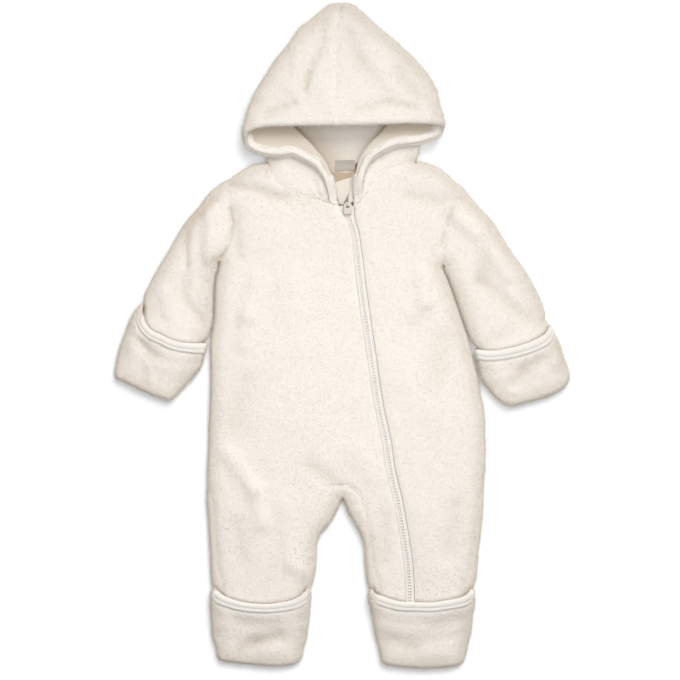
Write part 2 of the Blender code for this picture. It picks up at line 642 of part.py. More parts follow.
def hood(skin, side):
    name = "hood_" + side
    shell = divide(HOOD_SIDE[side], CROWN_STEPS)
    cheek = divide(HOOD_CHEEK[side], GUSSET_STEPS - 1, tail=(HEM_WIDTH,))
    rim = divide(HOOD_RIM[side], RIM_STEPS - 1, head=(6.0,))
    fold = divide(HOOD_FOLD[side], GUSSET_STEPS + RIM_STEPS)
    neck = divide(HOOD_NECK[side], NECK_SIDE_STEPS)
    seam = body_upper(divide(NECK_FRONT[side], NECK_STEPS, EDGE_STEPS))
    rise, climb = shares(shell), shares(cheek)
    top = np.concatenate([TOP_TIP + (TOP_APEX - TOP_TIP) * rise,
                          TOP_APEX + (TOP_CORNER - TOP_APEX) * climb[1:]])
    corner = (TOP_CORNER + LAPEL_LAYER) / 2
    turned = (LAPEL_LAYER + NECK_LAYER) / 2
    hem = (NECK_LAYER + LOWER) / 2
    apex = LOWER + (TOP_APEX - LOWER) * np.array([0.72, 0.5, 0.28])
    side_z = LOWER + (top[:len(shell), None] - LOWER) * np.array([0.72, 0.5, 0.28])
    outer = join(raised(shell, side_z[:, 0]), raised(cheek, apex[0] + (corner - apex[0]) * climb))
    drop = np.array([corner, *[LAPEL_LAYER + RIM_LIFT] * RIM_STEPS])
    cuff = join(outer, raised(rim, drop))
    inner = join(raised(shell, side_z[:, 1]),
                 raised(fold, apex[1] + (turned - apex[1]) * ease(shares(fold) * 4)))
    lower = join(raised(shell, side_z[:, 2]),
                 raised(neck, apex[2] + (hem - apex[2]) * ease(shares(neck) * 3)
                        + (seam[0, 2] - hem) * ease(shares(neck) * 4 - 3)), seam)

    brow = divide(HOOD_BROW[side], HOOD_STEPS, head=(1.6, 5.2))
    crown = divide(HOOD_CROWN, len(outer) - 2, tail=(HEM_WIDTH,))
    plan = coons(np.repeat(outer[:1, :2], len(brow), axis=0), brow, outer[:, :2], crown)
    away = np.linalg.norm(plan - plan[:, :1], axis=2)
    middle = TOP_TIP + (TOP_BROW - TOP_TIP) * shares(crown)
    share = np.linspace(0, 1, plan.shape[1])[None]
    level = top[:, None] + (middle - top)[:, None] * ease(share)
    height = outer[:, 2:] + (level - outer[:, 2:]) * arc(away / 5.2)
    skin.patch(np.dstack([plan, height]), name, up=True)

    half_way = np.concatenate([(side_z[:, 0] + side_z[:, 1]) / 2, np.full(len(fold) - 1, LAPEL_LAYER)])
    skin.patch(layered(cuff, inner, half_way, (4.6, 2.4), 2), name, up=False)
    half_way = np.concatenate([(side_z[:, 1] + side_z[:, 2]) / 2, np.full(len(fold) - 1, NECK_LAYER)])
    skin.patch(layered(inner, lower, half_way, (2.4, 3.0), 2), name, up=True)

    nape = divide(NECK_BACK[side], NAPE_STEPS, EDGE_STEPS)
    fringe = lower[:CROWN_STEPS + NECK_SIDE_STEPS + 1]
    spine = divide(HOOD_NAPE, len(fringe) - 1)
    plan = coons(np.repeat(fringe[:1, :2], len(nape), axis=0), nape, fringe[:, :2], spine)
    away = np.linalg.norm(plan - plan[:, :1], axis=2)
    height = LOWER + (fringe[:, 2:] - LOWER) * (1 - arc(away / EDGE))
    height[-1] = body_lower(nape)[:, 2]
    skin.patch(np.dstack([plan, height]), name, up=False)


HEM_LINES = [smooth(table[side]) for table in (HOOD_RIM, HOOD_BROW) for side in ("left", "right")]


def turned_hem(point):
    """What the hem adds to the inside of the hood at a point of its skin."""
    if point.z < LAPEL_LAYER - 1:
        return 0.0
    plan = np.array([[point.x, point.y]])
    near = min(distance(plan, line)[0] for line in HEM_LINES)
    return HEM_EXTRA if near < HEM_WIDTH - 0.5 else 0.0


# ---------------------------------------------------------------- mitts and booties
def bag(table, name, binding, colour, trim):
    """A turn-over bag: upper layer with a bound mouth, lower layer, closed round its end."""
    rows = {key: divide(table[key], BAG_STEPS, (BINDING_WIDTH,), EDGE_STEPS) for key in ("outer", "inner")}
    mouth = divide(table["mouth"], BAG_STEPS, EDGE_STEPS, EDGE_STEPS)
    end = divide(table["end"], BAG_STEPS, EDGE_STEPS, EDGE_STEPS)
    if np.linalg.norm(end[0] - rows["outer"][-1]) > 1:
        end = end[::-1]
    if np.linalg.norm(mouth[0] - rows["outer"][0]) > 1:
        mouth = mouth[::-1]
    seam = straight(mouth[0], mouth[-1], BAG_STEPS, EDGE_STEPS, EDGE_STEPS)
    edges = [smooth(table[key]) for key in ("outer", "inner", "end")]
    mouth_line = smooth(table["mouth"])
    skin = Skin([name, binding])

    def heights(plan, upper):
        flat = plan.reshape(-1, 2)
        deep = distance(flat, mouth_line)
        away = edge_distance(flat, edges)
        top = BAG_MOUTH + (BAG_TUCKED - BAG_MOUTH) * ease((deep - 4) / 20) \
            + (BAG_END - BAG_TUCKED) * ease((deep - 24) / 18)
        middle = (LOWER + top) / 2
        reach = (top - middle) if upper else (LOWER - middle)
        height = middle + reach * arc(away / EDGE)
        return np.dstack([plan, height.reshape(plan.shape[:-1])])

    over = heights(hug(coons(mouth, end, rows["outer"], rows["inner"])), upper=True)
    under = heights(hug(coons(seam, end, rows["outer"], rows["inner"])), upper=False)
    skin.patch(over[:2], binding, up=True)
    skin.patch(over[1:], name, up=True)
    skin.patch(under, name, up=False)
    skin.weld()
    cut_out(skin, name, name, colour)
    cut_out(skin, binding, binding, trim, thickness=BINDING)
    skin.mesh.free()


# ---------------------------------------------------------------- zip
TAPE_LIFT = -1.6       # bottom of the tape, from the middle of the cloth beside it
TAPE_THICK = 1.1
TEETH_WIDTH = 2.5      # half of the closed row of teeth
TEETH_RISE = 1.0
SLIDER = (6.4, 136.0)  # centre of the slider
SLIDER_WIDTH = 8.0
SLIDER_LENGTH = 11.0
SLIDER_THICK = 1.7
BRIDGE_RISE = 3.6      # the bridge that holds the pull tab
BRIDGE_WIDTH = 2.4
BRIDGE_Y = 138.6       # where the pull tab hangs
PULL_WIDTH = 8.6
PULL_THICK = 1.3
PULL_TOP = 0.6         # from the hinge's axis to the tab's two ends
PULL_END = 10.6
EYE_WIDTH = 3.2        # the slot that the bridge passes through
EYE_TOP = -0.6         # from the axis to the slot's two ends
EYE_END = 4.1


def zip_tape(side):
    """One half of the zip: a flat tape with the raised row of teeth along its inner edge."""
    edges = {name: join(*zip_line(name)) for name in ("left", "right")}
    inner = (edges["left"] + edges["right"]) / 2
    outer = edges[side]
    cloth = body_upper(inner)[:, 2]
    for step in (TUCK / 3, 2 * TUCK / 3):
        sunk = ease((step - LEG_FLAT) / (TUCK - LEG_FLAT))
        inner, outer = [np.vstack([run, run[-1] - (0, TUCK / 3)]) for run in (inner, outer)]
        cloth = np.append(cloth, cloth[len(edges[side]) - 1] * (1 - sunk) + TUCK_END * sunk)
    solid = bmesh.new()
    rings = []
    for near, far, floor in zip(inner, outer, cloth + TAPE_LIFT):
        width = np.linalg.norm(far - near)
        out = (far - near) / width
        top = floor + TAPE_THICK
        profile = [(SEAM / 2, floor), (width - SEAM / 2, floor), (width - SEAM / 2, top), (TEETH_WIDTH, top),
                   (TEETH_WIDTH - 0.4, top + TEETH_RISE), (SEAM / 2, top + TEETH_RISE)]
        rings.append([solid.verts.new((*(near + out * reach) * MM, height * MM)) for reach, height in profile])
    count = len(rings[0])
    for ring, following in zip(rings, rings[1:]):
        for here in range(count):
            there = (here + 1) % count
            solid.faces.new([ring[here], ring[there], following[there], following[here]])
    solid.faces.new(rings[0][::-1])
    solid.faces.new(rings[-1])
    bmesh.ops.recalc_face_normals(solid, faces=solid.faces)
    finish(solid, "zip_tape_" + side, TAPE)


def prism(solid, outline, low, high):
    """A plate between two heights; a height is a number or one for each corner."""
    lows = np.broadcast_to(low, len(outline))
    highs = np.broadcast_to(high, len(outline))
    below = [solid.verts.new((x * MM, y * MM, z * MM)) for (x, y), z in zip(outline, lows)]
    above = [solid.verts.new((x * MM, y * MM, z * MM)) for (x, y), z in zip(outline, highs)]
    for here in range(len(outline)):
        there = (here + 1) % len(outline)
        solid.faces.new([below[here], below[there], above[there], above[here]])
    solid.faces.new(below[::-1])
    solid.faces.new(above)
    return below, above


def rounded(x, y, width, length, corner, steps=3):
    """Outline of a plate with round corners, counter-clockwise."""
    points = []
    for quarter in range(4):
        side_x = (1, -1, -1, 1)[quarter] * (width / 2 - corner)
        side_y = (1, 1, -1, -1)[quarter] * (length / 2 - corner)
        for step in range(steps + 1):
            angle = math.pi / 2 * (quarter + step / steps)
            points.append((x + side_x + corner * math.cos(angle), y + side_y + corner * math.sin(angle)))
    return points


def teeth_top():
    return float(body_upper(np.array([SLIDER]))[0, 2]) + TAPE_LIFT + TAPE_THICK + TEETH_RISE


def slider():
    """The slider's upper plate, on the teeth, with the bridge for the pull tab in one piece with it."""
    floor = teeth_top() + SEAM
    x, y = SLIDER
    half, shoulder = SLIDER_WIDTH / 2, SLIDER_LENGTH / 2
    plate = bmesh.new()
    outline = [(x - half * 0.7, y - shoulder), (x + half * 0.7, y - shoulder), (x + half, y - shoulder * 0.3),
               (x + half, y + shoulder * 0.5), (x + half * 0.5, y + shoulder), (x - half * 0.5, y + shoulder),
               (x - half, y + shoulder * 0.5), (x - half, y - shoulder * 0.3)]
    prism(plate, outline, floor, floor + SLIDER_THICK)
    body = finish(plate, "zip_slider", METAL, roughness=0.35, metallic=1.0)
    arch = bmesh.new()
    profile = [(-3.4, -0.5), (-3.4, 1.6), (-2.4, BRIDGE_RISE), (2.0, BRIDGE_RISE), (3.0, 1.6), (3.0, -0.5),
               (1.4, -0.5), (1.4, 1.4), (0.9, BRIDGE_RISE - 1.3), (-1.3, BRIDGE_RISE - 1.3), (-1.8, 1.4),
               (-1.8, -0.5)]
    sides = []
    for reach in (-BRIDGE_WIDTH / 2, BRIDGE_WIDTH / 2):
        sides.append([arch.verts.new(((x + reach) * MM, (BRIDGE_Y + along) * MM,
                                      (floor + SLIDER_THICK + rise) * MM)) for along, rise in profile])
    for here in range(len(profile)):
        there = (here + 1) % len(profile)
        arch.faces.new([sides[0][here], sides[0][there], sides[1][there], sides[1][here]])
    arch.faces.new(sides[0][::-1])
    arch.faces.new(sides[1])
    bmesh.ops.recalc_face_normals(arch, faces=arch.faces)
    bridge = finish(arch, "bridge", METAL)
    bridge.hide_render = True
    bridge.display_type = "WIRE"
    union = body.modifiers.new("bridge", "BOOLEAN")
    union.operation = "UNION"
    union.object = bridge


def pull_tab():
    """A plain plate with a slot round the slider's bridge; its origin is on the hinge's axis."""
    centre = teeth_top() + SEAM + SLIDER_THICK + SEAM + PULL_THICK / 2
    solid = bmesh.new()
    reach = (PULL_TOP - PULL_END) / 2
    outer = rounded(0, reach, PULL_WIDTH, PULL_TOP + PULL_END, 1.6)
    slot = rounded(0, (EYE_TOP - EYE_END) / 2, EYE_WIDTH, EYE_TOP + EYE_END, 0.4)
    rims = []
    for outline in (outer, slot):
        rims.append([[solid.verts.new((x * MM, y * MM, height * MM)) for x, y in outline]
                     for height in (-PULL_THICK / 2, PULL_THICK / 2)])
    count = len(outer)
    for below, above in rims:
        for here in range(count):
            there = (here + 1) % count
            solid.faces.new([below[here], below[there], above[there], above[here]])
    for level in (0, 1):
        for here in range(count):
            there = (here + 1) % count
            solid.faces.new([rims[0][level][here], rims[0][level][there], rims[1][level][there],
                             rims[1][level][here]])
    bmesh.ops.recalc_face_normals(solid, faces=solid.faces)
    mesh_centre = CENTRE
    for vert in solid.verts:
        vert.co.x += mesh_centre[0] * MM
        vert.co.y += mesh_centre[1] * MM
    tab = finish(solid, "zip_pull", METAL, roughness=0.35, metallic=1.0)
    tab.location = ((SLIDER[0] - CENTRE[0]) * MM, (BRIDGE_Y - CENTRE[1]) * MM, centre * MM)


# ---------------------------------------------------------------- inside the neck
LYING = CLOTH + SEAM   # height of the lower face of what lies on the back
GUARD = [(-9.5, 161.5), (11.5, 168.0), (-2.6, 139.5)]
GUARD_THICK = 1.8
GUARD_ROLL = 4.4       # width of the rolled strip along its right edge
GUARD_ROLL_RISE = 1.0
LABEL_BOX = (-6, 176, 15, 185.5)
LABEL_THICK = 0.6
TAB_BOX = (17.3, 176, 19.4, 182)


def guard():
    """A small folded triangle of cloth behind the top of the zip, thicker where its edge is rolled."""
    left, right, foot = [np.array(corner, float) for corner in GUARD]
    along = (foot - right) / np.linalg.norm(foot - right)
    aside = np.array([along[1], -along[0]])
    outer_top, outer_foot = right - aside * GUARD_ROLL, foot - aside * GUARD_ROLL
    if np.linalg.norm(outer_top - left) < np.linalg.norm(right - left):
        outer_top, outer_foot = right + aside * GUARD_ROLL, foot + aside * GUARD_ROLL
    outline = [left, foot, outer_foot, outer_top, right]
    top = LYING + GUARD_THICK
    solid = bmesh.new()
    heights = [top, top, top + GUARD_ROLL_RISE, top + GUARD_ROLL_RISE, top]
    prism(solid, outline, LYING, heights)
    bmesh.ops.triangulate(solid, faces=solid.faces)
    finish(solid, "zip_guard", TAPE)


def plate(name, box, colour):
    solid = bmesh.new()
    x0, y0, x1, y1 = box
    prism(solid, [(x0, y0), (x1, y0), (x1, y1), (x0, y1)], LYING, LYING + LABEL_THICK)
    finish(solid, name, colour)


# ---------------------------------------------------------------- colours
FLEECE = (0.90, 0.85, 0.77)
TRIM = (0.95, 0.92, 0.86)
TAPE = (0.86, 0.81, 0.73)
METAL = (0.72, 0.72, 0.70)
LABEL = (0.80, 0.77, 0.70)
RED = (0.50, 0.07, 0.06)


def main():
    for item in list(bpy.data.objects):
        bpy.data.objects.remove(item, do_unlink=True)
    pieces = ["front_left", "front_right", "back", "sleeve_left", "sleeve_right", "hood_left", "hood_right"]
    skin = Skin(pieces)
    front_left(skin)
    front_right(skin)
    back(skin)
    for side in ("left", "right"):
        sleeve(skin, side)
        hood(skin, side)
    skin.weld()
    for piece in pieces:
        cut_out(skin, piece, piece, FLEECE, inner=turned_hem if piece.startswith("hood") else None)
    skin.mesh.free()
    for side in ("left", "right"):
        bag(MITT[side], "mitt_" + side, "mitt_binding_" + side, FLEECE, TRIM)
        bag(BOOTIE[side], "bootie_" + side, "bootie_binding_" + side, FLEECE, TRIM)
        zip_tape(side)
    slider()
    pull_tab()
    guard()
    plate("neck_label", LABEL_BOX, LABEL)
    plate("neck_tab", TAB_BOX, RED)


main()
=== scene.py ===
"""The looks of a baby's pramsuit of cream wool fleece, laid flat on its back.

Plan: X to the right, Y from the feet to the hood's tip, Z up from the surface it lies on.
The cloth is drawn once, as a skin half-way through its thickness, in the millimetres of the
laid-out garment. Each piece is cut out of it and given its thickness, its nubs and its nap.
"""
import math

import bmesh
import bpy
import numpy as np
from bpy.props import FloatProperty, FloatVectorProperty, IntProperty, PointerProperty
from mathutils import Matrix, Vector, noise
from mathutils.kdtree import KDTree


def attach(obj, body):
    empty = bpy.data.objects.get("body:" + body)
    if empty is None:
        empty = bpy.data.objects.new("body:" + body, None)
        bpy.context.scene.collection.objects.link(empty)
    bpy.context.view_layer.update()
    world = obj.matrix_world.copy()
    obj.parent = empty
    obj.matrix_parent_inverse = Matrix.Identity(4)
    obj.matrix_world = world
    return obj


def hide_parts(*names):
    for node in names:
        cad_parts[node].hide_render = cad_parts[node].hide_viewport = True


bl_info = {
    "name": "Fleece pramsuit",
    "version": (1, 0, 0),
    "blender": (4, 5, 0),
    "location": "3D View > Sidebar > Pramsuit",
    "description": "Makes a baby's wool fleece pramsuit, laid flat, with its zip, bindings and nap",
    "category": "Add Mesh",
}

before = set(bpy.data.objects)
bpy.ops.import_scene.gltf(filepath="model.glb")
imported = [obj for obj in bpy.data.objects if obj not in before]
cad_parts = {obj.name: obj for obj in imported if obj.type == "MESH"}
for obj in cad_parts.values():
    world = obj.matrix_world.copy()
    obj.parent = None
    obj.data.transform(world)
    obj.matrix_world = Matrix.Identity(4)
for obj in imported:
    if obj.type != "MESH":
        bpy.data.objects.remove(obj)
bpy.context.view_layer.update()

MM = 0.001
SIDES = ("left", "right")
# ---------------------------------------------------------------- sizes, in millimetres
CLOTH = 3.6            # the fleece, nap included
SEAM = 0.3             # gap between the tape and the fronts, and under the label
CENTRE = (0.7, 0.64)   # the plan point that becomes the origin
EDGE = 3.0             # radius of a folded edge, at the middle of the cloth
EDGE_STEPS = (0.35, 1.0, 1.9, 3.0)
NOTCH_STEPS = (2.5, 6.0)
LOWER = CLOTH / 2
MIDDLE = LOWER + EDGE

BINDING_WIDTH = 9.5
BINDING = 4.4          # thickness of the bound edge
HEM_WIDTH = 11.0       # the hood's turned hem
HEM_STEPS = (2.2, 4.4, 6.6, 8.8, HEM_WIDTH)
HEM_STITCH = 9.2       # from the hood's edge to the stitches of its hem
HEM_EXTRA = 3.0        # what the turned hem adds inside
TUCK = 33.0            # how far a sleeve's or leg's upper layer reaches into its mitt or bootie
TUCK_ROWS = 26
TUCK_FLARE = 8.0       # length over which that hem changes its width
LEG_FLAT = 17.0        # how far a leg's hem goes before it sinks
WRIST_FLAT = 11.0      # and a sleeve's
LEG_NARROWING = -0.3   # how much wider a leg's side strip gets inside the bootie, as a share
WRIST_FLARE = {"left": 0.14, "right": 0.06}    # and a sleeve's hem inside the mitt

# numbers of even steps along the runs
SHOULDER_STEPS = 18
NECK_STEPS = 36
NECK_SIDE_STEPS = 22
ARM_STEPS = 36
SIDE_STEPS = 96
LEG_STEPS = 44
SLEEVE_STEPS = 60
CROWN_STEPS = 54
GUSSET_STEPS = 20
RIM_STEPS = 42
NAPE_STEPS = 30
HOOD_STEPS = 42
LAYER_STEPS = 12
BAG_STEPS = 34
FAR_STEPS = 14         # columns of the left front beyond the crotch seam
RELAX_ROUNDS = 2500


# ---------------------------------------------------------------- outlines, middle of the cloth
SHOULDER = {
    "left": [(-118, 164.5), (-97, 177.2), (-77, 182)],
    "right": [(120, 161.5), (100.5, 177.3), (77, 184)],
}
NECK_FRONT = {
    "left": [(-77, 182), (-74, 168), (-66, 158), (-48, 149.5), (-28, 144), (-3, 137.2)],
    "right": [(77, 184), (61, 178), (46, 171.5), (36, 162), (27, 150), (13.5, 137.2)],
}
NECK_BACK = {
    "left": [(-77, 182), (-44, 175), (-4, 172)],
    "right": [(77, 184), (45, 175), (-4, 172)],
}
ARMHOLE = {
    "left": [(-118, 164.5), (-117.5, 135), (-114, 117), (-118, 97), (-129, 80)],
    "right": [(120, 161.5), (116, 135), (109, 112), (105, 91), (107, 76)],
}
SIDE = {
    "left": [(-129, 80), (-127.2, 78.2), (-127.2, 74), (-131.2, 58), (-132.2, 41), (-133.2, 16),
             (-137, -7), (-136.6, -35), (-136.7, -56), (-138.2, -98), (-139.7, -140), (-139.6, -156)],
    "right": [(107, 76), (105.1, 74.4), (105.4, 70), (111.8, 56.5), (118.8, 36.5), (127.8, 10.5),
              (134, -9), (140.8, -36), (144.2, -56), (149, -80), (150.1, -104), (150, -132),
              (148.5, -156)],
}
UNDERARM = {
    "left": [(-129, 80), (-131, 78.2), (-131.6, 74), (-135.6, 58), (-136.6, 41), (-137.6, 16),
             (-142, -1), (-145.8, -5.5)],
    "right": [(107, 76), (109.2, 74.4), (110, 70), (116.2, 56.5), (123.2, 36.5), (132.2, 10.5),
              (139.4, -6), (144.2, -12.2)],
}
OVERARM = {
    "left": [(-118, 164.5), (-135, 152.5), (-148.5, 135.8), (-162.3, 119), (-177.3, 94.3),
             (-192, 69.4), (-201.5, 52), (-207.2, 38), (-207.3, 26.8)],
    "right": [(120, 161.5), (128.7, 152.5), (142.6, 135.7), (157.5, 118.8), (168.3, 102),
              (178.6, 86), (191.2, 69), (200.6, 52), (208.3, 35.5), (212.0, 24), (212.6, 17.6)],
}
LEG_OUT = {
    "left": [(-139.6, -156), (-139.8, -172), (-138.6, -190), (-137.3, -210), (-136.3, -233),
             (-135.5, -246), (-135, -257), (-134.6, -263.6)],
    "right": [(148.5, -156), (147.6, -172), (146.4, -190), (144.4, -210), (142, -230),
              (140.6, -245), (139.2, -257), (138.0, -263.6)],
}
LEG_IN = {
    "left": [(0.8, -168.6), (-1.4, -170.6), (-3.8, -176), (-6.8, -183), (-11, -191), (-17, -199.5),
             (-24.3, -208), (-27.6, -219), (-28, -235), (-29.6, -247), (-31.6, -258), (-32.8, -263.6)],
    "right": [(0.8, -168.6), (3, -170.6), (5.4, -176), (8, -183), (12.4, -191), (17.4, -199.5),
              (21.8, -208), (25.4, -219), (26, -235), (27.2, -247), (28.6, -258), (29.8, -263.6)],
}
SEAM_OUT = {
    "left": [(-139.6, -156), (-137.5, -164), (-134.6, -176), (-133.6, -190), (-133.2, -205),
             (-130, -232), (-128.6, -246), (-126, -257), (-125, -263.6)],
    "right": [(148.5, -156), (146.6, -164), (143.6, -176), (141.6, -190), (139, -210),
              (135.6, -232), (133.8, -246), (129.6, -257), (128.2, -263.6)],
}
SEAM_IN = {
    "left": [(4, -155.5), (-3, -155.6), (-11, -158), (-18.4, -164.5), (-24, -178), (-28.4, -195),
             (-31.8, -215), (-34.6, -236), (-38, -250), (-42, -263.6)],
    "right": [(4, -155.5), (8.5, -157.5), (14, -161.5), (19.6, -169), (24.7, -184), (28.4, -203),
              (31.6, -222), (34, -240), (37, -252), (40, -263.6)],
}
# the zip's middle, from the neck to the ankle, with half of the width between the two fronts
ZIP_COLUMNS = ("x", "y", "half")
ZIP = [
    (5.25, 137.2, 8.25),
    (8.6, 126, 5.0),
    (14.6, 108, 3.9),
    (18.0, 82, 4.3),
    (21.0, 54.5, 4.6),
    (26.6, 15, 4.6),
    (31.5, -19.4, 4.6),
    (39.4, -72, 4.6),
    (47.3, -109, 4.7),
    (52.2, -141, 4.7),
    (59.3, -170.6, 4.7),
    (65.0, -203, 4.7),
    (70.0, -236, 4.7),
    (72.0, -263.6, 4.5),
]
UNDERARM_LEVEL = 77.0
CROTCH_LEVEL = -155.5

# ---------------------------------------------------------------- the hood
HOOD_SIDE = {   # silhouette from the tip to where the gusset starts, then to the mouth's corner
    "left": [(-2, 348.4), (-10.5, 347.3), (-19, 341.6), (-31, 331.6), (-42.8, 322.4), (-55.5, 304),
             (-68.6, 287), (-79.5, 270), (-89.3, 254.3)],
    "right": [(-2, 348.4), (9.5, 347.3), (18, 341.5), (28.8, 331.5), (38.8, 322.6), (60.6, 303.6),
              (77.6, 286.7), (91.3, 270), (98.2, 256.4)],
}
HOOD_CHEEK = {
    "left": [(-89.3, 254.3), (-95.3, 241.3), (-98.5, 228.8), (-101.2, 216.8), (-102.3, 207)],
    "right": [(98.2, 256.4), (101.4, 241), (105, 228), (106.3, 218)],
}
HOOD_RIM = {
    "left": [(-102.3, 207), (-101.4, 201.5), (-98, 196.5), (-90, 191.8), (-78, 188.6), (-67, 187.8),
             (-55, 189.5), (-40.8, 184), (-26, 174.8), (-18, 162), (-11.5, 139)],
    "right": [(106.3, 218), (105.4, 212.5), (102, 208), (95, 205), (80.3, 201), (60.4, 199),
              (42, 191), (29.5, 181), (24, 168), (21.6, 154), (20.4, 141)],
}
HOOD_FOLD = {   # where the cheek turns back, hidden down to the mouth, then in sight
    "left": [(-89.3, 254.3), (-72, 240), (-53, 222), (-43, 212), (-31, 199), (-16.5, 180),
             (-10.4, 162), (-4.6, 138.4)],
    "right": [(98.2, 256.4), (75, 243), (49.9, 223), (40, 211), (31, 202), (20.5, 188),
              (16.4, 172), (14.6, 156), (14.0, 139)],
}
HOOD_NECK = {   # side fold of the neck part
    "left": [(-89.3, 254.3), (-86.4, 236), (-82.5, 216), (-79, 198), (-77, 182)],
    "right": [(98.2, 256.4), (93, 236), (86.5, 216), (80.5, 200), (77, 184)],
}
HOOD_BROW = {
    "left": [(-102.3, 207), (-98.5, 212), (-90, 216.6), (-78, 218.8), (-51, 219.6), (-4, 220)],
    "right": [(106.3, 218), (102, 220), (92, 221.8), (70, 222.2), (45, 221.2), (22, 220.2), (-4, 220)],
}
HOOD_CROWN = [(-2, 348.4), (-6, 290), (-4, 220)]
HOOD_NAPE = [(-2, 348.4), (-4, 260), (-4, 172)]
TOP_TIP = 8.2          # height of the hood's top layer at the tip
TOP_APEX = 19.0        # where the gusset starts
TOP_CORNER = 23.5      # at the mouth's corners
TOP_BROW = 27.0        # at the middle of the brow
NECK_LAYER = 8.4       # the neck part
LAPEL_LAYER = 12.9     # the turned-back cheek, lying on the neck part
RIM_LIFT = 1.4         # the hem curls up a little

# ---------------------------------------------------------------- mitts and booties
MITT = {
    "left": {
        "mouth": [(-208.5, 34), (-208, 21), (-205.5, 12.7), (-199, 5.5), (-189, 0.6), (-174.8, -5.8),
                  (-157.2, -8.2), (-142.2, -8)],
        "outer": [(-208.5, 34), (-215, 27), (-221, 16), (-226, 3), (-229.9, -7), (-234, -22),
                  (-236.6, -38)],
        "end": [(-236.6, -38), (-235.4, -42.6), (-228, -46), (-211.4, -54.2), (-191, -62.8),
                (-182, -66)],
        "inner": [(-142.2, -8), (-146, -21), (-149.4, -31), (-155.4, -39), (-161.8, -47),
                  (-170, -55.6), (-176, -62.6), (-182, -66)],
    },
    "right": {
        "mouth": [(219, 11), (214, 2.5), (205, -3.5), (193, -8.5), (178, -12.8), (162, -15.6),
                  (150, -15.8), (140.4, -14.4)],
        "outer": [(219, 11), (221.8, 4), (227.6, -8), (231.9, -22.6), (236, -33), (238, -41)],
        "end": [(238, -41), (236.4, -47.6), (231, -54.2), (212, -62.8), (192, -68.4), (179, -71.6)],
        "inner": [(140.4, -14.4), (145, -31), (149.5, -46), (156.4, -55), (163.6, -63.4),
                  (171, -69), (179, -71.6)],
    },
}
BOOTIE = {
    "left": {
        "mouth": [(-131.5, -264.8), (-129.6, -267.8), (-126, -271), (-118, -275), (-104.5, -279.4),
                  (-80.3, -281.6), (-57.2, -278.8), (-46, -274.6), (-41.5, -271.5), (-38.8, -268.2),
                  (-37.5, -265.2)],
        "outer": [(-131.5, -264.8), (-134.4, -266.4), (-135.9, -270), (-136.2, -283), (-135.2, -300),
                  (-134, -316), (-130.4, -327), (-129.6, -334)],
        "end": [(-129.6, -334), (-126.4, -339), (-118, -341), (-94, -343.3), (-71, -345.2),
                (-52, -343.6), (-45, -340), (-42, -334)],
        "inner": [(-37.5, -265.2), (-34.9, -266.8), (-33.6, -270.2), (-33.8, -278), (-34.8, -291),
                  (-37, -308), (-38.2, -317), (-41.2, -326), (-42, -334)],
    },
    "right": {
        "mouth": [(33, -265.2), (35, -268.3), (38.5, -271), (44.6, -273.8), (53.3, -276.9),
                  (63.8, -279.1), (77.2, -279.6), (95.1, -279.9), (110, -277.7), (118.7, -276),
                  (126.5, -273.9), (131.5, -270.8), (134.2, -268), (135.4, -265.3)],
        "outer": [(135.4, -265.3), (137.6, -267), (138.4, -270.5), (138, -283), (136.2, -295),
                  (135, -308), (131.3, -325), (129, -334), (127.2, -340.4)],
        "end": [(43.6, -340.8), (46.6, -343.4), (57, -345.2), (82.4, -347.1), (104, -346.4),
                (117, -345.2), (124.6, -343), (127.2, -340.4)],
        "inner": [(33, -265.2), (30.6, -267), (29.6, -270.5), (30.2, -276), (33.8, -292), (36, -308),
                  (38, -317), (40.4, -327), (42, -334), (43.6, -340.8)],
    },
}
BAG_MOUTH = 13.4       # height of a mitt's or bootie's upper layer at its mouth
BAG_TUCKED = 10.2      # over the end of the hem inside it
BAG_END = 8.2
TUCK_END = 5.9         # height of the hem inside, at its end


# ---------------------------------------------------------------- curves
def smooth(points, per_span=16):
    """A smooth curve through the points, as a dense line."""
    knots = np.array([points[0], *points, points[-1]], float)
    knots[0] = 2 * knots[1] - knots[2]
    knots[-1] = 2 * knots[-2] - knots[-3]
    share = np.linspace(0, 1, per_span, endpoint=False)[:, None]
    line = []
    for before, start, end, after in zip(knots, knots[1:], knots[2:], knots[3:]):
        span = np.linalg.norm(end - start)
        leave = (end - before) / (span + np.linalg.norm(start - before)) * span
        arrive = (after - start) / (np.linalg.norm(after - end) + span) * span
        line.append((2 * share**3 - 3 * share**2 + 1) * start
                    + (share**3 - 2 * share**2 + share) * leave
                    + (3 * share**2 - 2 * share**3) * end + (share**3 - share**2) * arrive)
    return np.vstack([*line, knots[-2:-1]])


def lengths(run):
    """How far along a run each of its points lies."""
    return np.concatenate([[0], np.cumsum(np.linalg.norm(np.diff(run, axis=0), axis=1))])


def divide(points, even, head=(), tail=(), dense=False):
    """Stations on the curve: fixed steps from each end, even steps between them."""
    line = points if dense else smooth(points)
    reach = lengths(line)
    length = reach[-1]
    first = head[-1] if head else 0.0
    last = length - (tail[-1] if tail else 0.0)
    marks = [0.0] if head else []
    marks += [*head[:-1], *np.linspace(first, last, even + 1)]
    marks += [length - step for step in tail[-2::-1]] + ([length] if tail else [])
    return np.column_stack([np.interp(marks, reach, part) for part in line.T])


def straight(start, end, even, head=(), tail=()):
    return divide(np.array([start, end], float), even, head, tail, dense=True)


def join(*runs):
    """One run from several that follow each other."""
    return np.vstack([runs[0], *[run[1:] for run in runs[1:]]])


def shares(run):
    reach = lengths(run)
    return reach / max(reach[-1], 1e-9)


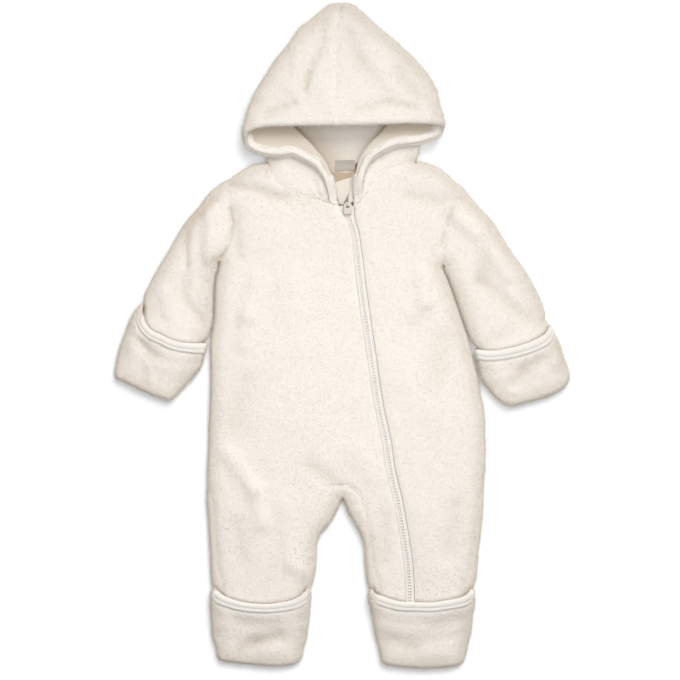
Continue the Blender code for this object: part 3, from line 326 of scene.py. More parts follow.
def coons(top, bottom, left, right):
    """A grid between four runs: top and bottom have a point a column, left and right one a row."""
    pointed = np.ptp(top, axis=0).max() < 1e-9
    level = shares(bottom) if pointed else (shares(top) + shares(bottom)) / 2
    over = level[None, :, None]
    down = ((shares(left) + shares(right)) / 2)[:, None, None]
    return ((1 - down) * top[None] + down * bottom[None] + (1 - over) * left[:, None]
            + over * right[:, None]
            - (1 - over) * (1 - down) * top[0] - over * (1 - down) * top[-1]
            - (1 - over) * down * bottom[0] - over * down * bottom[-1])


def sideways(along):
    """Unit vectors square to the given ones."""
    return np.column_stack([along[:, 1], -along[:, 0]]) / np.linalg.norm(along, axis=1)[:, None]


def hug(grid, left=True, right=True, fade=0.0):
    """The grid with the columns beside a folded edge kept at their own distances from it."""
    for wanted, view in ((left, grid), (right, grid[:, ::-1])):
        if not wanted:
            continue
        run = np.diff(view[:, 0], axis=0)
        run /= np.linalg.norm(run, axis=1)[:, None]
        along = np.vstack([run[:1], run[1:] + run[:-1], run[-1:]])
        aside = sideways(along)
        aside *= np.sign(((view[-2:, len(EDGE_STEPS)] - view[-2:, 0]) * aside[-2:]).sum())
        reach = lengths(view[:, 0])
        close = np.minimum(reach, reach[-1] - reach)
        held = ease(close / fade)[1:-1, None] if fade else 1.0
        for column, step in enumerate(EDGE_STEPS, 1):
            wanted_place = view[1:-1, 0] + aside[1:-1] * step
            view[1:-1, column] = held * wanted_place + (1 - held) * view[1:-1, column]
    return grid


def relax(grid, top=1, bottom=1, left=1, right=1, rounds=RELAX_ROUNDS):
    """The grid with its inner points spread evenly; the margins given stay as they are."""
    rows, columns = grid.shape[:2]
    width, height = (np.linalg.norm(grid[-1, 0] - corner) for corner in (grid[-1, -1], grid[0, 0]))
    wide = np.diff(shares(grid[0]) + shares(grid[-1])) * width
    tall = np.diff(shares(grid[:, 0]) + shares(grid[:, -1])) * height
    before, after = wide[left - 1:columns - 1 - right], wide[left:columns - right]
    above, below = tall[top - 1:rows - 1 - bottom], tall[top:rows - bottom]
    before, after = [(1 / (gap * (before + after)))[None, :, None] for gap in (before, after)]
    above, below = [(1 / (gap * (above + below)))[:, None, None] for gap in (above, below)]
    inner_rows, inner_columns = slice(top, rows - bottom), slice(left, columns - right)
    for _ in range(rounds):
        grid[inner_rows, inner_columns] = (
            grid[inner_rows, left - 1:columns - right - 1] * before
            + grid[inner_rows, left + 1:columns - right + 1] * after
            + grid[top - 1:rows - bottom - 1, inner_columns] * above
            + grid[top + 1:rows - bottom + 1, inner_columns] * below
        ) / (before + after + above + below)
    return grid


def distance(points, line):
    """How far each plan point lies from a dense line."""
    start = line[:-1]
    along = line[1:] - start
    length = np.maximum((along**2).sum(1), 1e-12)
    share = np.clip(((points[:, None] - start) * along).sum(2) / length, 0, 1)
    return np.linalg.norm(points[:, None] - start - share[..., None] * along, axis=2).min(1)


def arc(share):
    """Height of a quarter circle over its radius."""
    return np.sqrt(1 - (1 - np.clip(share, 0, 1)) ** 2)


def ease(share):
    share = np.clip(share, 0, 1)
    return share * share * (3 - 2 * share)


# ---------------------------------------------------------------- folds, in millimetres
# from x, from y, to x, to y, half width, height: a ridge is above nought and a trough below it
UPPER_FOLDS = [
    (-112, 157, -86, 153, 6, -1.3),
    (-78, 149, -60, 146, 7, -0.8),
    (-74, 147, -18, 141, 8, -0.8),
    (70, 147, 114, 139, 9, -0.9),
    (-88, 60, -99, 22, 9, 1.6),
    (-99, 22, -103, -8, 9, 1.3),
    (84, 62, 88, 36, 9, 1.6),
    (88, 36, 76, 22, 8, 1.2),
    (-120, -122, -92, -160, 8, 1.4),
    (-92, -160, -84, -196, 8, 1.3),
    (-52, -240, -30, -252, 7, 1.2),
    (-135, 142, -144, 134.5, 4.5, -1.3),
    (-149, 129, -157, 119, 4, -1.7),
    (-161, 112, -163, 96, 3.8, -1.9),
    (-163.4, 89, -162.6, 74, 4.2, -1.5),
    (-163.5, 64, -166, 46, 6, -0.9),
    (-163, 36, -149, 18, 6, -0.9),
    (-117, 133, -115, 120, 2.4, -1.5),
    (-115.4, 113, -118, 100, 2.4, -1.6),
    (-120.5, 93, -127, 82, 2.6, -1.5),
    (116, 134, 110.5, 117, 2.6, -1.1),
    (108, 108, 105.5, 94, 2.6, -1.1),
    (-137, 128, -139, 84, 8, 2.4),
    (116, 132, 140, 108, 8, 1.8),
    (148, 84, 146, 58, 8, -1.2),
    (146, 58, 194, 18, 8, -1.0),
    (160, 84, 176, 62, 8, 1.6),
    (-112, 131, -108, 84, 6, -1.0),
    (-70, 96, -52, 30, 22, 0.9),
    (-40, -20, -66, -84, 26, 0.8),
    (-104, -46, -112, -92, 12, -0.8),
    (60, -30, 92, -76, 24, 0.8),
    (104, -2, 96, -52, 14, -0.7),
    (18, -118, 32, -146, 11, 0.9),
    (-34, -136, -14, -150, 8, -0.9),
    (-60, -176, -54, -226, 12, 0.9),
    (-112, -196, -104, -238, 9, -0.7),
    (86, -186, 92, -240, 14, 0.9),
    (120, -176, 112, -226, 8, -0.8),
    (46, -190, 44, -236, 7, -0.7),
    (178, 44, 166, 8, 8, 1.1),
    (-186, 44, -176, 12, 8, 1.0),
]
LOWER_FOLDS = [
    (-92, 120, -30, 96, 12, 1.3),
    (-20, 128, 66, 108, 10, 1.1),
    (-104, 20, -60, -40, 11, 1.5),
    (-30, 10, 24, -58, 14, 1.2),
    (70, 40, 112, -20, 10, 1.4),
    (-118, -90, -40, -132, 9, 1.6),
    (20, -110, 116, -128, 11, 1.3),
    (-96, -176, -70, -236, 9, 1.2),
    (84, -180, 112, -232, 10, 1.4),
    (-150, 118, -170, 70, 9, 1.2),
    (140, 116, 178, 60, 9, 1.3),
    (-46, -190, -60, -250, 8, 0.9),
]
HOOD_FOLDS = [
    (-18, 326, -22, 300, 5, -0.8),
    (-24.5, 293, -31, 284, 4, -1.3),
    (-34, 275, -39, 256, 3.8, -1.9),
    (-46, 296, -51, 258, 6, 0.9),
    (17, 235, 44, 243, 5, -1.1),
    (50, 243.5, 76, 238, 5, -1.2),
    (-78, 231, -50, 242, 5, -1.3),
    (-20, 262, -12, 236, 9, 0.9),
    (30, 292, 52, 262, 9, 1.3),
    (58, 276, 78, 250, 7, -1.0),
    (-82, 250, -60, 262, 8, 1.0),
    (6, 318, 18, 284, 8, -0.8),
]
UPPER_GAIN = 1.7       # times the heights in the table
HOOD_GAIN = 1.9        # the same for the hood's
UPPER_FADE = 9.0       # creases grow from nought over this distance from a folded edge
LOWER_FADE = 12.0      # on the back
HOOD_FADE = 14.0       # on the hood
AT_EDGE = 0.05         # points nearer than this lie on the edge
DOME_RISE = 2.2        # how far the upper layer rises inside its edges
DOME_WIDTH = 12.0      # distance over which it does so
BODY_EDGES = [smooth(table[side]) for table in (SHOULDER, SIDE, UNDERARM, OVERARM, LEG_OUT, LEG_IN)
              for side in SIDES]


def edge_distance(plan, edges):
    flat = plan.reshape(-1, 2)
    nearest = np.min([distance(flat, line) for line in edges], axis=0)
    nearest[nearest < AT_EDGE] = 0
    return nearest.reshape(plan.shape[:-1])


def folds(plan, table):
    """Height that the creases of a table add at each plan point, fading towards their ends."""
    flat = plan.reshape(-1, 2)
    height = np.zeros(len(flat))
    for x0, y0, x1, y1, half, rise in table:
        away = distance(flat, np.array([(x0, y0), (x1, y1)], float))
        height += rise * np.exp(-(away / half) ** 2)
    return height.reshape(plan.shape[:-1])


MOUTH_DIP = 3.4        # how far the cloth goes down where it meets a mitt's or bootie's mouth
MOUTH_REACH = 2.4      # and how far from the mouth
MOUTHS = [smooth(table[side]["mouth"]) for table in (MITT, BOOTIE) for side in SIDES]


def dip(plan):
    """How far the cloth goes down along the mouths of the mitts and booties."""
    return MOUTH_DIP * np.exp(-(edge_distance(plan, MOUTHS) / MOUTH_REACH) ** 2)


def body_upper(plan):
    away = edge_distance(plan, BODY_EDGES)
    dome = DOME_RISE * (1 - np.exp(-away / DOME_WIDTH))
    rise = dome + UPPER_GAIN * folds(plan, UPPER_FOLDS) * ease(away / UPPER_FADE)
    height = MIDDLE + EDGE * arc(away / EDGE) + rise - dip(plan)
    return np.concatenate([plan, height[..., None]], axis=-1)


def body_lower(plan):
    away = edge_distance(plan, BODY_EDGES)
    height = MIDDLE - EDGE * arc(away / EDGE) + folds(plan, LOWER_FOLDS) * ease(away / LOWER_FADE)
    return np.concatenate([plan, height[..., None]], axis=-1)


# ---------------------------------------------------------------- the skin and its pieces
NUB = 0.24             # height of the fleece's nubs
NUB_SIZE = 6.5         # and their spacing
CURL = 0.17            # the smaller curls on them
CURL_SIZE = 3.4
SWELL = 0.5            # slow unevenness of the cloth
SWELL_SIZE = 34.0
SEAM_DEPTH = 0.9       # how far the cloth dips at a sewn seam
SEAM_REACH = 3.2
CURL_PLACE = Vector((7, 3, 5))    # other parts of the noise, so that the three don't match
SWELL_PLACE = Vector((2, 9, 4))
INSIDE_NUBS = 0.4      # height of the reverse's nubs, as a share of the outside's
INSIDE_SIZE = 1.1      # and how much closer they are
FACING_DOWN = -0.5     # height of the normal of cloth that lies on the surface
FACING_UP = 0.2        # and of cloth that can have a crease in sight
WELD = 0.03            # points of the skin this near are one
SHARP = 50             # degrees between faces that stay a sharp edge
METAL_SHARP = 35
BEVELLED = 0.5         # radians between faces whose edge is rounded off


class Skin:
    """Cloth drawn as one surface; each face carries the number of the piece it belongs to."""

    def __init__(self, pieces):
        self.mesh = bmesh.new()
        self.pieces = pieces

    def patch(self, grid, piece, up):
        """Rows run down the garment, columns across it; up says which way the outside faces."""
        verts = [[self.mesh.verts.new(point) for point in row] for row in grid]
        across = np.nanmean(grid[:, -1, 0] - grid[:, 0, 0])
        down = np.nanmean(grid[-1, :, 1] - grid[0, :, 1])
        keep = (across * down < 0) == up
        number = self.pieces.index(piece)
        for upper, lower in zip(verts, verts[1:]):
            for here, there in zip(range(len(upper)), range(1, len(upper))):
                corners = [upper[here], lower[here], lower[there], upper[there]]
                face = self.mesh.faces.new(corners if keep else corners[::-1])
                face.material_index = number

    def weld(self):
        bmesh.ops.remove_doubles(self.mesh, verts=self.mesh.verts, dist=WELD)
        self.mesh.normal_update()
        self.mesh.verts.index_update()


def nubs(point):
    """Height of the fleece's surface at a place, about nought."""
    return (NUB * noise.noise(point / NUB_SIZE)
            + CURL * noise.noise(point / CURL_SIZE + CURL_PLACE)
            + SWELL * noise.noise(point / SWELL_SIZE + SWELL_PLACE))


# painted shade: how far the nap's colour goes towards the reverse's tint near folded edges and in
# creases, as a share of that tint
EDGE_SHADE = 0.36      # at a folded edge
EDGE_SHADE_REACH = 10.0
TROUGH_SHADE = 0.16    # for each millimetre of a crease's depth
MOST_SHADE = 0.6       # where the two add up
OUTLINES = [smooth(table[side], 4) for side in SIDES
            for table in (SHOULDER, SIDE, UNDERARM, OVERARM, LEG_OUT, LEG_IN, HOOD_SIDE, HOOD_CHEEK)]
OUTLINES += [smooth(table[side][key], 4) for table in (MITT, BOOTIE) for side in SIDES
             for key in ("outer", "end", "inner")]


def painted_edge_and_crease_shade(verts, normals):
    """Painted shade near a folded edge and down in a crease, as a share of the reverse's tint."""
    plan = np.array([vert.co[:2] for vert in verts])
    near = EDGE_SHADE * np.exp(-(edge_distance(plan, OUTLINES) / EDGE_SHADE_REACH) ** 2)
    low = np.maximum(-folds(plan, TROUGHS), 0) * TROUGH_SHADE * (np.array(normals) > FACING_UP)
    return np.minimum(near + low, MOST_SHADE)


def cut_out(skin, piece, inner=None, outer=None, thickness=CLOTH, rough=1.0, seam_depth=SEAM_DEPTH):
    """One piece of the skin, given its thickness and its nubs; it dips where it is sewn."""
    number = skin.pieces.index(piece)
    faces = [face for face in skin.mesh.faces if face.material_index == number]
    rims, walls, sewn = {}, [], set()
    for face in faces:
        for loop in face.loops:
            if sum(other.material_index == number for other in loop.edge.link_faces) == 1:
                walls.append((loop.vert, loop.link_loop_next.vert))
                rims.update(dict.fromkeys(loop.edge.verts))
                if len(loop.edge.link_faces) > 1:
                    sewn.update(loop.edge.verts)
    tree = KDTree(len(rims))
    for place, vert in enumerate(rims):
        tree.insert(vert.co, place)
    tree.balance()
    verts = list({vert: None for face in faces for vert in face.verts})
    outside, inside, place_of = [], [], {}
    for place, vert in enumerate(verts):
        place_of[vert] = place
        centre = vert.co
        seam = tree.find(centre)[2] / SEAM_REACH
        lift = nubs(centre) * rough - seam_depth * math.exp(-seam * seam)
        if outer:
            lift += outer(centre)
        if vert.normal.z < FACING_DOWN and centre.z < MIDDLE:
            lift = min(lift, centre.z - thickness / 2)
        outside.append(centre + vert.normal * (thickness / 2 + lift))
        depth = thickness / 2 + (inner(centre) if inner else 0.0)
        depth -= rough * INSIDE_NUBS * nubs(centre * INSIDE_SIZE)
        inside.append(centre - vert.normal * depth)
    count = len(verts)
    quads = []
    for face in faces:
        corners = [place_of[vert] for vert in face.verts]
        quads.append(corners)
        quads.append([corner + count for corner in reversed(corners)])
    for start, end in walls:
        here, there = place_of[start], place_of[end]
        quads.append([there, here, here + count, there + count])
    mesh = bpy.data.meshes.new(piece)
    points = (np.array(outside + inside) - (*CENTRE, 0)) * MM
    mesh.from_pydata(points, [], quads)
    hem = [turned(vert.co) if inner else 0.0 for vert in verts]
    # painted shade outside, near folded edges and in creases; inside, the reverse's tint with painted
    # shade in the hood
    wear_and_painted_shade = painted_edge_and_crease_shade(verts, [vert.normal.z for vert in verts])
    deep = [deep_inside(vert.co) if inner else 1.0 for vert in verts]
    for label, values in (("pile", [1.0] * count + hem), ("reverse", [*wear_and_painted_shade, *deep])):
        mesh.attributes.new(label, "FLOAT", "POINT").data.foreach_set("value", values)
    mesh.shade_smooth()
    at_seam = np.tile([vert in sewn for vert in verts], 2)
    ends = np.empty(len(mesh.edges) * 2, int)
    mesh.edges.foreach_get("vertices", ends)
    sharp = mesh.attributes.new("sharp_edge", "BOOLEAN", "EDGE")
    sharp.data.foreach_set("value", at_seam[ends].reshape(-1, 2).all(1))
    return link(piece + "_cloth", mesh)


def link(name, data):
    item = bpy.data.objects.new(name, data)
    bpy.context.scene.collection.objects.link(item)
    return item


def solid(name, points, faces, material, flip=False):
    """An object from plan points and heights in millimetres, smooth but for its sharp edges."""
    mesh = bpy.data.meshes.new(name)
    mesh.from_pydata((points - (*CENTRE, 0)) * MM, [], faces)
    if flip:
        mesh.flip_normals()
    mesh.materials.append(material)
    mesh.shade_smooth()
    mesh.set_sharp_from_angle(angle=math.radians(SHARP))
    return link(name, mesh)


def tube(name, rings, material, flip=False):
    """A closed strip or roll through rings of points."""
    count = len(rings[0])
    faces = [[row * count + here, row * count + (here + 1) % count,
              (row + 1) * count + (here + 1) % count, (row + 1) * count + here]
             for row in range(len(rings) - 1) for here in range(count)]
    faces += [list(range(count))[::-1], [(len(rings) - 1) * count + here for here in range(count)]]
    return solid(name, np.array(rings).reshape(-1, 3), faces, material, flip)


# ---------------------------------------------------------------- body and sleeves
def zip_line(side):
    """The edge of one front along the zip, in three runs: chest, belly and leg."""
    column = dict(zip(ZIP_COLUMNS, np.array(ZIP).T))
    shift = -column["half"] if side == "left" else column["half"]
    line = smooth(np.column_stack([column["x"] + shift, column["y"]]))
    levels = [line[0, 1], UNDERARM_LEVEL, CROTCH_LEVEL, line[-1, 1]]
    runs = []
    for high, low in zip(levels, levels[1:]):
        ends = [(np.interp(-level, -line[:, 1], line[:, 0]), level) for level in (high, low)]
        inner = line[(line[:, 1] < high - 0.01) & (line[:, 1] > low + 0.01)]
        runs.append(np.vstack([ends[:1], inner, ends[1:]]))
    chest = divide(runs[0], ARM_STEPS, EDGE_STEPS, EDGE_STEPS, dense=True)
    belly = divide(runs[1], SIDE_STEPS, NOTCH_STEPS, dense=True)
    leg = divide(runs[2], LEG_STEPS, NOTCH_STEPS, dense=True)
    return chest, belly, leg


def ruled(start, end, marks):
    """A grid of straight rows between two runs."""
    marks = np.array(marks)[None, :, None]
    return start[:, None] * (1 - marks) + end[:, None] * marks


def tuck(row, direction, flat, flare=0.0, anchor=None):
    """The hidden hem inside a mitt or bootie: the row carried on, sinking to the lower layer."""
    rows = [row]
    middle = (row[0, :2] + row[-1, :2]) / 2 if anchor is None else anchor
    level = row[:, 2] + dip(row[:, :2])
    for step in np.linspace(0, TUCK, TUCK_ROWS + 1)[1:]:
        sunk = ease((step - flat) / (TUCK - flat))
        spread = 1 + flare * ease(step / TUCK_FLARE)
        plan = middle + (row[:, :2] - middle) * spread + np.array(direction) * step
        rows.append(np.column_stack([plan, level * (1 - sunk) + TUCK_END * sunk - dip(plan)]))
    return np.array(rows)


STRIP = (0, 0.05, 0.12, 0.22, 0.34, 0.48, 0.64, 0.82, 1)
EVEN_SIDE = {side: divide(SIDE[side], SIDE_STEPS, NOTCH_STEPS) for side in SIDE}
EVEN_ARMHOLE = {side: divide(ARMHOLE[side], ARM_STEPS, EDGE_STEPS, EDGE_STEPS) for side in ARMHOLE}
EVEN_SHOULDER = {side: divide(SHOULDER[side], SHOULDER_STEPS, EDGE_STEPS) for side in SHOULDER}


def leg_run(table, side):
    return divide(table[side], LEG_STEPS, NOTCH_STEPS)


def chest_panel(grid):
    """The grid with its first rows following the shoulder and the neck."""
    hug(grid.swapaxes(0, 1), right=False)
    return relax(grid, top=len(EDGE_STEPS) + 1)


def front_left(skin):
    chest, belly, leg = zip_line("left")
    neck = divide(NECK_FRONT["left"], NECK_STEPS, EDGE_STEPS)
    seam_out, seam_in, seam_far = (leg_run(SEAM_OUT, "left"), leg_run(SEAM_IN, "left"),
                                   leg_run(SEAM_IN, "right"))
    columns = SHOULDER_STEPS + NECK_STEPS + len(EDGE_STEPS)
    level = straight(EVEN_SIDE["left"][0], belly[0], columns, EDGE_STEPS)
    upper = chest_panel(coons(join(EVEN_SHOULDER["left"], neck), level, EVEN_ARMHOLE["left"],
                              chest))
    split = columns - FAR_STEPS
    near = straight(EVEN_SIDE["left"][-1], seam_in[0], split, EDGE_STEPS)
    far = straight(seam_in[0], leg[0], FAR_STEPS)
    lower = hug(coons(level, join(near, far), EVEN_SIDE["left"], belly), right=False)
    near_leg = coons(near, straight(seam_out[-1], seam_in[-1], split, EDGE_STEPS), seam_out,
                     seam_in)
    far_leg = coons(far, straight(seam_far[-1], leg[-1], FAR_STEPS), seam_far, leg)
    for plan in (upper, lower, near_leg, far_leg):
        skin.patch(body_upper(plan), "front_left", up=True)
    for plan in (near_leg, far_leg):
        skin.patch(tuck(body_upper(plan[-1]), (0, -1), LEG_FLAT), "front_left", up=True)


def front_right(skin):
    chest, belly, leg = zip_line("right")
    neck = divide(NECK_FRONT["right"], NECK_STEPS, EDGE_STEPS)[::-1]
    columns = SHOULDER_STEPS + NECK_STEPS + len(EDGE_STEPS)
    seam_out = leg_run(SEAM_OUT, "right")
    level = straight(belly[0], EVEN_SIDE["right"][0], columns, tail=EDGE_STEPS)
    upper = chest_panel(coons(join(neck, EVEN_SHOULDER["right"][::-1]), level, chest,
                              EVEN_ARMHOLE["right"]))
    hip = straight(leg[0], EVEN_SIDE["right"][-1], columns, tail=EDGE_STEPS)
    lower = hug(coons(level, hip, belly, EVEN_SIDE["right"]), left=False)
    ankle = straight(leg[-1], seam_out[-1], columns, tail=EDGE_STEPS)
    legs = coons(hip, ankle, leg, seam_out)
    for plan in (upper, lower, legs):
        skin.patch(body_upper(plan), "front_right", up=True)
    skin.patch(tuck(body_upper(legs[-1]), (0, -1), LEG_FLAT), "front_right", up=True)


def back(skin):
    nape = [divide(NECK_BACK[side], NAPE_STEPS, EDGE_STEPS) for side in SIDES]
    top = join(EVEN_SHOULDER["left"], nape[0], nape[1][::-1], EVEN_SHOULDER["right"][::-1])
    half = len(top) // 2
    inner = half - 2 * len(EDGE_STEPS)
    level = straight(EVEN_SIDE["left"][0], EVEN_SIDE["right"][0], half + inner, EDGE_STEPS,
                     EDGE_STEPS)
    upper = coons(top, level, EVEN_ARMHOLE["left"], EVEN_ARMHOLE["right"])
    crotch = LEG_IN["left"][0]
    hips = {side: straight(EVEN_SIDE[side][-1], crotch, inner, EDGE_STEPS, EDGE_STEPS)
            for side in SIDES}
    lower = hug(coons(level, join(hips["left"], hips["right"][::-1]), EVEN_SIDE["left"],
                      EVEN_SIDE["right"]))
    for plan in (upper, lower):
        skin.patch(body_lower(plan), "back", up=False)
    for side in SIDES:
        outer, inward_run = leg_run(LEG_OUT, side), leg_run(LEG_IN, side)
        ankle = straight(outer[-1], inward_run[-1], inner, EDGE_STEPS, EDGE_STEPS)
        skin.patch(body_lower(hug(coons(hips[side], ankle, outer, inward_run))), "back", up=False)
        for edge, seam in ((outer, SEAM_OUT), (inward_run, SEAM_IN)):
            strip = ruled(edge, leg_run(seam, side), STRIP)
            skin.patch(body_upper(strip), "back", up=True)
            skin.patch(tuck(body_upper(strip[-1]), (0, -1), LEG_FLAT, LEG_NARROWING, strip[-1, -1]),
                       "back", up=True)


def sleeve(skin, side):
    outer = divide(OVERARM[side], SLEEVE_STEPS, NOTCH_STEPS)
    inner = divide(UNDERARM[side], SLEEVE_STEPS, NOTCH_STEPS)
    wrist = straight(outer[-1], inner[-1], ARM_STEPS, EDGE_STEPS, EDGE_STEPS)
    margin = len(EDGE_STEPS) + 1
    plan = relax(hug(coons(EVEN_ARMHOLE[side], wrist, outer, inner)), left=margin, right=margin)
    name = "sleeve_" + side
    skin.patch(body_upper(plan), name, up=True)
    skin.patch(body_lower(plan), name, up=False)
    along = wrist[-1] - wrist[0]
    turn = -1 if side == "left" else 1
    direction = np.array([-turn * along[1], turn * along[0]]) / np.linalg.norm(along)
    skin.patch(tuck(body_upper(plan[-1]), direction, WRIST_FLAT, WRIST_FLARE[side]), name, up=True)


# ---------------------------------------------------------------- hood
CROWN_ROUND = (0.4, 1.3, 2.9, 5.2)   # how the hood's top layer rounds over its edges
ROUND_SHARES = np.array([0, 0.06, 0.2, 0.4, 0.68, 1])    # of a fold's rounding, at each row
HEM_MARKS = np.array([0, 0.4, 1.1, 2.2, 3.6, 5.2, 6.8, 8.2, 9.2, 10.2, 11.4])   # from the rim
HEM_FOOT = 139.0       # where the hood's edge goes down into the neck seam, at the zip
HEM_RISE = 30.0        # and how far above it that begins
FOOT_LEVELS = {"rim": 9.4, "lapel": 9.2, "fold": 8.0, "neck": 6.6}
SIDE_SHARES = np.array([0.72, 0.5, 0.28])   # heights of the three folds that meet at the side
NARROW = 0.28          # share of a narrow row that the rounding of each fold takes up


def settled(run, heights, part):
    """Heights of a run of the hood that comes down to the neck seam at its end."""
    share = ease((run[:, 1] - HEM_FOOT) / HEM_RISE)
    return FOOT_LEVELS[part] + (heights - FOOT_LEVELS[part]) * share


def layered(start, end, level, rounding, steps, near_marks=ROUND_SHARES * 2.4):
    """Rows between two folds at their own heights, lying at a level of their own between them."""
    rows = []
    for first, last, middle in zip(start, end, level):
        width = np.linalg.norm(last[:2] - first[:2])
        near, far = rounding
        marks = [*near_marks, *np.linspace(near_marks[-1], width - far, steps + 1)[1:-1],
                 *(width - far * ROUND_SHARES[::-1])]
        even = np.array([*(NARROW * near_marks / near_marks[-1]),
                         *np.linspace(NARROW, 1 - NARROW, steps + 1)[1:-1],
                         *(1 - NARROW * ROUND_SHARES[::-1])])
        wide = ease(width / (near_marks[-1] + far) / 2 - 0.5)
        marks = wide * np.array(marks) + (1 - wide) * even * width
        share = marks / max(width, 1e-9) if width > 1e-6 else even
        plan = first[:2] + (last[:2] - first[:2]) * share[:, None]
        slope = first[2] + (last[2] - first[2]) * (wide * share + (1 - wide) * even)
        bend = middle + (first[2] - middle) * (1 - arc(marks / near)) \
            + (last[2] - middle) * (1 - arc((width - marks) / far))
        rows.append(np.column_stack([plan, wide * bend + (1 - wide) * slope]))
    return np.array(rows)


def raised(run, heights):
    return np.column_stack([run, heights])


def hood(skin, side):
    name = "hood_" + side
    shell = divide(HOOD_SIDE[side], CROWN_STEPS)
    cheek = divide(HOOD_CHEEK[side], GUSSET_STEPS - len(HEM_STEPS), tail=HEM_STEPS)
    rim = divide(HOOD_RIM[side], RIM_STEPS - 1, head=(6.0,))
    fold = divide(HOOD_FOLD[side], GUSSET_STEPS + RIM_STEPS)
    neck = divide(HOOD_NECK[side], NECK_SIDE_STEPS)
    seam = body_upper(divide(NECK_FRONT[side], NECK_STEPS, EDGE_STEPS))
    rise, climb = shares(shell), shares(cheek)
    top = np.concatenate([TOP_TIP + (TOP_APEX - TOP_TIP) * rise,
                          TOP_APEX + (TOP_CORNER - TOP_APEX) * climb[1:]])
    corner = (TOP_CORNER + LAPEL_LAYER) / 2
    turn_level = (LAPEL_LAYER + NECK_LAYER) / 2
    hem = (NECK_LAYER + LOWER) / 2
    apex = LOWER + (TOP_APEX - LOWER) * SIDE_SHARES
    side_z = LOWER + (top[:len(shell), None] - LOWER) * SIDE_SHARES
    outer = join(raised(shell, side_z[:, 0]), raised(cheek, apex[0] + (corner - apex[0]) * climb))
    rim_level = np.array([corner, *[LAPEL_LAYER + RIM_LIFT] * RIM_STEPS])
    cuff = join(outer, raised(rim, settled(rim, rim_level, "rim")))
    fold_level = apex[1] + (turn_level - apex[1]) * ease(shares(fold) * 4)
    inner = join(raised(shell, side_z[:, 1]), raised(fold, settled(fold, fold_level, "fold")))
    lower = join(raised(shell, side_z[:, 2]),
                 raised(neck, apex[2] + (hem - apex[2]) * ease(shares(neck) * 3)
                        + (seam[0, 2] - hem) * ease(shares(neck) * 4 - 3)), seam)

    brow = divide(HOOD_BROW[side], HOOD_STEPS, head=CROWN_ROUND)
    crown = divide(HOOD_CROWN, len(outer) - 1 - len(HEM_STEPS), tail=HEM_STEPS)
    plan = coons(np.repeat(outer[:1, :2], len(brow), axis=0), brow, outer[:, :2], crown)
    away = np.linalg.norm(plan - plan[:, :1], axis=2)
    middle = TOP_TIP + (TOP_BROW - TOP_TIP) * shares(crown)
    share = np.linspace(0, 1, plan.shape[1])[None]
    level = top[:, None] + (middle - top)[:, None] * ease(share)
    height = outer[:, 2:] + (level - outer[:, 2:]) * arc(away / CROWN_ROUND[-1])
    height += HOOD_GAIN * folds(plan, HOOD_FOLDS) * ease(away / HOOD_FADE)
    skin.patch(np.dstack([plan, height]), name, up=True)

    lapel = settled(fold[1:], np.full(len(fold) - 1, LAPEL_LAYER), "lapel")
    half_way = np.concatenate([(side_z[:, 0] + side_z[:, 1]) / 2, lapel])
    skin.patch(layered(cuff, inner, half_way, (4.6, 2.4), LAYER_STEPS, HEM_MARKS), name, up=False)
    collar = settled(fold[1:], np.full(len(fold) - 1, NECK_LAYER), "neck")
    half_way = np.concatenate([(side_z[:, 1] + side_z[:, 2]) / 2, collar])
    skin.patch(layered(inner, lower, half_way, (2.4, EDGE), LAYER_STEPS), name, up=True)

    nape = divide(NECK_BACK[side], NAPE_STEPS, EDGE_STEPS)
    fringe = lower[:CROWN_STEPS + NECK_SIDE_STEPS + 1]
    spine = divide(HOOD_NAPE, len(fringe) - 1)
    plan = coons(np.repeat(fringe[:1, :2], len(nape), axis=0), nape, fringe[:, :2], spine)
    away = np.linalg.norm(plan - plan[:, :1], axis=2)
    height = LOWER + (fringe[:, 2:] - LOWER) * (1 - arc(away / EDGE))
    height[-1] = body_lower(nape)[:, 2]
    skin.patch(np.dstack([plan, height]), name, up=False)


RIM_LINES = [smooth(HOOD_RIM[side]) for side in SIDES]
BROW_LINES = [smooth(HOOD_BROW[side]) for side in SIDES]
FOLD_LINES = [smooth(HOOD_FOLD[side]) for side in SIDES]
HEM_TURN = 1.6         # width over which the turned hem gives way to the reverse
HEM_ROLL = 1.1         # what the hem adds outside
HEM_GROOVE = {"inside": (0.5, 1.3), "outside": (0.8, 1.4)}   # depth and width where it is sewn
# painted shade inside the hood, as shares of the reverse's tint, some with their reach
NAPE_SHADE = 0.02      # on the lower layer
FOLD_SHADES = ((0.66, 22.0), (0.3, 13.0))   # more, beside the left and the right fold
CROWN_SHADE = 0.46     # under the top layer
BROW_SHADE = (0.3, 9.0)     # more, behind the brow
BROW_SHADE_PLACE = 4.0


def hem_distance(point):
    """How far a point of the hood's skin lies from the mouth's edge; far off in the neck part."""
    above_foot = point.y > HEM_FOOT + HEM_RISE
    if point.z < LAPEL_LAYER - 1 and (above_foot or point.z < FOOT_LEVELS["rim"] - 1.4):
        return 2 * HEM_WIDTH
    plan = np.array([[point.x, point.y]])
    lines = BROW_LINES if point.z > (TOP_CORNER + LAPEL_LAYER) / 2 else RIM_LINES
    return min(distance(plan, line)[0] for line in lines)


def roll(away, width=HEM_STITCH):
    """Profile of the turned hem: a soft roll from the edge to the stitches."""
    return math.sqrt(max(1 - (2 * away / width - 1) ** 2, 0.0))


def bump(away, height, reach):
    """A rounded ridge of a height, or a share, that fades over its reach."""
    return height * math.exp(-(away / reach) ** 2)


def turned(point):
    """1 on the hem, where the outside of the fleece is turned in, and 0 beyond it."""
    return 1 - float(ease((hem_distance(point) - HEM_STITCH) / HEM_TURN))


